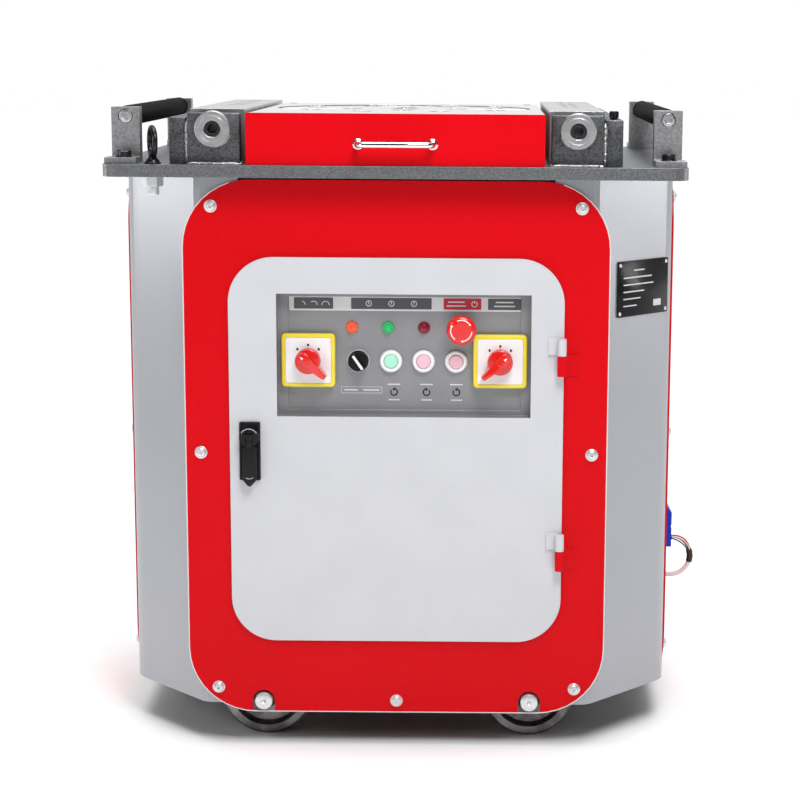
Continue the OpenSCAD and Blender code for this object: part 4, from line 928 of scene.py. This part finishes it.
def addKnob(x, lean):
    def build(mesh):
        place = onPanel(x, switches["z"], 0, lean)
        turned(mesh, [(0, -14), (3.9, -14), (3.9, 13.5), (17, 13.5), (17, 24), (16.4, 26), (14.6, 27),
                      (0, 27)], place, 56)
        shaped(mesh, switches["lever"], [(-0.8, 18), (-0.3, 27), (0.2, 33), (0.8, 35.6), (1.8, 36.7),
                                         (3, 37)], place)
        turned(mesh, [(3.6, 36.6), (3.6, 37.1), (3.2, 37.3), (2.6, 37.3), (2.4, 36.8), (0, 36.8)], place, 28)
    return build


def addPointer(x, lean):
    def build(mesh):
        stack(mesh, [[(-1.6, 7.4, z), (1.6, 7.4, z), (0.5, 11.6, z), (-0.5, 11.6, z)] for z in (36.8, 37.25)],
              onPanel(x, switches["z"], 0, lean))
    return build


piece("switchFrames", addSwitchFrames, "yellowPlastic", "door", ["switch_plates"])
piece("switchFields", addSwitchFields, "whitePlastic", "door")
piece("switchDots", addSwitchDots, "blackPlastic", "door")
piece("switchStacks", addSwitchStacks, "greyPlastic", "door")
for body, x, lean in switches["knobs"]:
    name = body.replace("_s", "S")
    piece(name + "Knob", addKnob(x, lean), "redPlastic", body, [body + "_knob"])
    piece(name + "Arrow", addPointer(x, lean), "whitePlastic", body)
print("controls fitted")

# table top

housing = {
    "x": 236, "front": -288, "back": -268, "half": 34, "low": 790, "high": 856,
    "rail": (273, 295, -278, 312, 850),   # x from and to, y from and to, top
    "bush": (23, -303), "bore": 10.4, "screwZ": 836,
}


def addHousings(mesh):
    h = housing
    for side in (left, right):
        low, high = sorted((side * (h["x"] - h["half"]), side * (h["x"] + h["half"])))
        softBlock(mesh, (low, h["front"], h["low"] + 0.1), (high, h["back"], h["high"]), 1.6)
        inner, outer, start, end, top = h["rail"]
        low, high = sorted((side * inner, side * outer))
        softBlock(mesh, (low, start, h["low"] + 0.1), (high, end, top), 1.2)


def addBushes(mesh):
    h = housing
    r, front = h["bush"]
    length = h["front"] - front
    for side in (left, right):
        ring = [(h["bore"], 0), (r, 0), (r, length - 0.6), (r - 0.6, length), (r - 5.6, length),
                (r - 5.8, length - 0.15), (r - 6.2, length - 0.15), (r - 6.4, length),
                (h["bore"] + 0.8, length), (h["bore"], length - 0.8)]
        turned(mesh, ring, facing((side * h["x"], h["front"] - 0.05, h["screwZ"])), 64, closed=True)


piece("screwHousings", addHousings, "housingSteel", "machine", ["screw_housings"])
piece("screwBushes", addBushes, "turnedSteel", "machine")

welds = {"size": 2.6, "seed": 11}


def addWelds(mesh):
    draw = random.Random(welds["seed"])
    size = welds["size"]
    h = housing
    inner, outer, start, end, top = h["rail"]
    r, front = h["bush"]
    for side in (left, right):
        a, b = side * (h["x"] - h["half"]), side * (h["x"] + h["half"])
        z = h["low"] + 0.8
        weldBead(mesh, (a, h["front"] - 0.6, z), (b, h["front"] - 0.6, z), size, draw)
        weldBead(mesh, (a - side * 0.6, h["front"], z), (a - side * 0.6, h["back"], z), size * 0.8, draw)
        seam = b + side * 1.4
        weldBead(mesh, (seam, start - 1.4, h["low"] + 1), (seam, start - 1.4, top - 4), size * 1.35, draw)
        for i in range(5):  # short runs along the rail
            y = start + 40 + i * 122
            foot = side * (outer + 0.6)
            weldBead(mesh, (foot, y, z), (foot, y + 46, z), size, draw)
        circle = [spoke(r + 0.4, math.radians(200 + 14 * i)) for i in range(11)]
        ring = [(side * h["x"] + dx, h["front"] - 0.3, h["screwZ"] + dz) for dx, dz in circle]
        swept(mesh, ring, [1.2 * draw.uniform(0.85, 1.15) for _ in ring], 10)


piece("weldBeads", addWelds, "weldSteel", "machine", crease=50)

handleBow = {"x": 48, "z": 818, "front": -303, "reach": -325, "radius": 4, "bend": 9, "boss": 7.5}


def addHandleBow(mesh):
    h = handleBow
    path = [(-h["x"], h["front"] + 2, h["z"])]
    for side in (left, right):
        arc = []
        for i in range(9):
            a = math.radians(90 * i / 8)
            arc.append((side * (h["x"] - h["bend"] + h["bend"] * math.cos(a)),
                        h["reach"] + h["bend"] - h["bend"] * math.sin(a), h["z"]))
        path += arc if side == left else arc[::-1]
    path.append((h["x"], h["front"] + 2, h["z"]))
    swept(mesh, path, h["radius"], 24)
    for side in (left, right):
        r = h["boss"]
        boss = [(0, -0.2), (r, -0.2), (r, 0.9), (r - 0.5, 1.6), (r - 1.6, 2.2), (5.4, 2.5), (5, 3.6),
                (4.4, 4), (0, 4)]
        turned(mesh, boss, facing((side * h["x"], h["front"], h["z"])), 40)


piece("trayHandle", addHandleBow, "chromePlate", "tray", ["tray_handle"], crease=40)

eye = {
    "places": ((-316, -283), (316, 307)),
    "base": 790, "turn": 20, "ring": 17.6, "thick": 3.5, "centre": 29,
    "nut": (13.5, 13, 774), "stud": 8, "studEnd": 750,
}


def addEyes(mesh):
    e = eye
    for x, y in e["places"]:
        spin = Matrix.Translation((x, y, e["base"])) @ Matrix.Rotation(math.radians(e["turn"]), 4, "Z")
        turned(mesh, [(0, 0), (10.6, 0), (11, 0.5), (11, 1.6), (10.4, 2.2), (9.2, 2.4), (8.8, 4), (7, 6.4),
                      (5.4, 8), (4.6, 11), (4.4, 12.6), (0, 12.6)], spin, 48)
        rings = []
        for i in range(56):
            a = math.tau * i / 56
            swell = e["thick"] * (1 + 0.25 * max(0, -math.sin(a)) ** 3)
            way = Vector((0, math.cos(a), math.sin(a)))
            turns = [spoke(swell, math.tau * k / 20) for k in range(20)]
            rings.append([Vector((out, 0, e["centre"])) + way * (e["ring"] + along) for along, out in turns])
        stack(mesh, rings, spin, closed=True)


def threadRings(radius, low, high, pitch):
    profile, z = [(0, low), (radius - 1.2, low), (radius - 0.3, low + 0.9)], low + 1
    while z + pitch <= high:
        profile += [(radius, z + 0.25 * pitch), (radius, z + 0.4 * pitch), (radius - 0.7, z + 0.7 * pitch),
                    (radius - 0.7, z + 0.85 * pitch)]
        z += pitch
    return profile + [(radius, high), (0, high)]


def addEyeNuts(mesh):
    e = eye
    across, tall, top = e["nut"]
    for x, y in e["places"]:
        at = Matrix.Translation((x, y, top - tall))
        turned(mesh, [(e["stud"] + 0.05, 0), (across * 0.8, 0), (across * 0.86, 1, 6),
                      (across * 0.866, tall - 0.4, 6), (e["stud"] + 0.05, tall)], at, 48, closed=True)
        turned(mesh, threadRings(e["stud"], 0, tall + 11, 2), Matrix.Translation((x, y, e["studEnd"])), 40)


piece("liftingEyes", addEyes, "blackOxide", "machine", ["lifting_eyes"], crease=40)
piece("liftingNuts", addEyeNuts, "zincPlate", "machine")

feed = {
    "x": 355.5, "z": 850, "front": -251, "back": 268, "rod": 6, "head": 8.8,
    "foot": 798, "footBolts": (-272, 289),
    "clamp": (284, -250, 850), "cover": (179, (-280, 240), 856),
}


def socketHead(radius, height, socket, sink):
    return [(0, 0), (radius, 0), (radius, height - 0.9), (radius - 0.3, height - 0.25),
            (radius - 0.9, height), (socket * 1.2, height), (socket * 1.16, height - 0.3, 6),
            (socket, height - 0.4, 6), (socket, height - sink, 6), (0, height - sink)]


def addRollerAxles(mesh):
    f = feed
    for side in (left, right):
        x = side * f["x"]
        swept(mesh, [(x, f["front"] + 5, f["z"]), (x, f["back"] - 5, f["z"])], f["rod"], 32)
        for end, way in ((f["front"], -1), (f["back"], 1)):
            at = facing((x, end - way * 6, f["z"]), (0, way, 0), 12)
            turned(mesh, socketHead(f["head"], 5.4, 4, 3.4), at, 48)


def addTableBolts(mesh):
    f = feed
    for side in (left, right):
        for i, y in enumerate(f["footBolts"]):
            at = Matrix.Translation((side * f["x"], y, f["foot"])) @ Matrix.Rotation(0.3 + i, 4, "Z")
            turned(mesh, [(0, 0), (10.6, 0), (10.9, 0.4), (10.9, 1.4), (10.4, 1.7), (0, 1.7)], at, 40)
            turned(mesh, [(0, 1.7), (8.6, 1.8), (8.7, 2.1, 6), (8.7, 7.6, 6), (7.9, 8.9), (0, 9)], at, 48)
    at = Matrix.Translation(f["clamp"]) @ Matrix.Rotation(0.5, 4, "Z")
    turned(mesh, [(0, -0.2), (5, -0.2), (5, 2.6), (0, 2.6)], at, 32)
    turned(mesh, [(0, 2.6), (6.3, 2.7), (6.1, 3.4, 6), (6.1, 9.8, 6), (5.4, 10.9), (0, 11)], at, 48)


def addCoverScrews(mesh):
    x, ys, z = feed["cover"]
    screw = [(0, -3.5), (3.3, -3.5), (6.2, -0.2), (6.2, 0.15), (5.8, 0.3), (3.1, 0.3), (2.7, 0.1, 6),
             (2.7, -2, 6), (0, -2)]
    for side in (left, right):
        for y in ys:
            turned(mesh, screw, Matrix.Translation((side * x, y, z)), 40)


piece("rollerAxles", addRollerAxles, "turnedSteel", "machine", ["roller_axles"])
piece("tableBolts", addTableBolts, "blackOxide", "machine", ["table_bolts"])
piece("coverScrews", addCoverScrews, "darkScrew", "machine")
print("table top fitted")

# floor, lights and surroundings

studio = {
    "floor": {"colour": (0.93, 0.93, 0.93), "second": (0.915, 0.915, 0.92), "rough": (0.85, 0.95),
              "strength": 0.02, "shader": {"Specular IOR Level": 0.1}},
    "floorSize": 60,
    "sky": (1.0, 1.0, 1.0),
    "front": (0.03, 0.03, 0.032),
    "backEdge": (-0.25, 0.3),   # where the bright back begins and is full
    "overEdge": (0.75, 0.95),
    "sideEdge": (0.3, 0.75),
    "aside": 0.33,   # brightness to the left and right of the bright back
    "sun": (1.9, 40, (0, 0, 0)),   # strength, spread and turn
    "lamps": (  # name, place and target in metres, size, watts
        ("key", (0.45, -1.5, 2.1), (0, 0, 0.75), 0.9, 29),
        ("fill", (-1.9, -1.9, 1.5), (0, 0, 0.6), 0.9, 9),
        ("leftGlow", (-2.1, 0.2, 0.8), (-0.33, -0.2, 0.72), 0.55, 4.5),
        ("rightGlow", (2.1, 0.2, 0.8), (0.33, -0.2, 0.72), 0.55, 4.5),
    ),
}


def addFloor(s):
    mesh = bmesh.new()
    half = s["floorSize"] / 2
    bmesh.ops.create_grid(mesh, x_segments=4, y_segments=4, size=half)
    data = bpy.data.meshes.new("floor")
    mesh.to_mesh(data)
    mesh.free()
    data.materials.append(makeFinish("floorPaper", s["floor"]))
    floor = bpy.data.objects.new("floor", data)
    scene.collection.objects.link(floor)


def addLamps(s):
    for name, place, target, size, watts in s["lamps"]:
        data = bpy.data.lights.new(name, "AREA")
        data.shape = "DISK"
        data.size = size
        data.energy = watts
        lamp = bpy.data.objects.new(name, data)
        lamp.location = place
        lamp.rotation_euler = (Vector(target) - Vector(place)).to_track_quat("-Z", "Y").to_euler()
        scene.collection.objects.link(lamp)


def addSun(s):
    strength, wide, turn = s["sun"]
    data = bpy.data.lights.new("overhead", "SUN")
    data.energy = strength
    data.angle = math.radians(wide)
    sun = bpy.data.objects.new("overhead", data)
    sun.rotation_euler = [math.radians(a) for a in turn]
    scene.collection.objects.link(sun)


def addSky(s):  # bright behind and overhead, dark in front, so glossy paint keeps its colour
    world = bpy.data.worlds.new("studio")
    scene.world = world
    world.use_nodes = True
    tree = world.node_tree
    coords = nodeAt(tree, "TexCoord")
    split = nodeAt(tree, "SeparateXYZ")
    tree.links.new(coords.outputs["Generated"], split.inputs[0])
    back = spread(tree, split.outputs["Y"], *s["backEdge"], 0, 1)
    over = spread(tree, split.outputs["Z"], *s["overEdge"], 0, 1)
    both = nodeAt(tree, "Math", operation="MAXIMUM")
    reach = nodeAt(tree, "Math", operation="ABSOLUTE")
    tree.links.new(split.outputs["X"], reach.inputs[0])
    ahead = nodeAt(tree, "Math", operation="MULTIPLY")
    tree.links.new(back, ahead.inputs[0])
    tree.links.new(spread(tree, reach.outputs["Value"], *s["sideEdge"], 1, s["aside"]), ahead.inputs[1])
    tree.links.new(ahead.outputs["Value"], both.inputs[0])
    tree.links.new(over, both.inputs[1])
    tree.links.new(mixColour(tree, both.outputs["Value"], s["front"], s["sky"]),
                   tree.nodes["Background"].inputs["Color"])


addFloor(studio)
addLamps(studio)
addSun(studio)
addSky(studio)
print("studio lit")
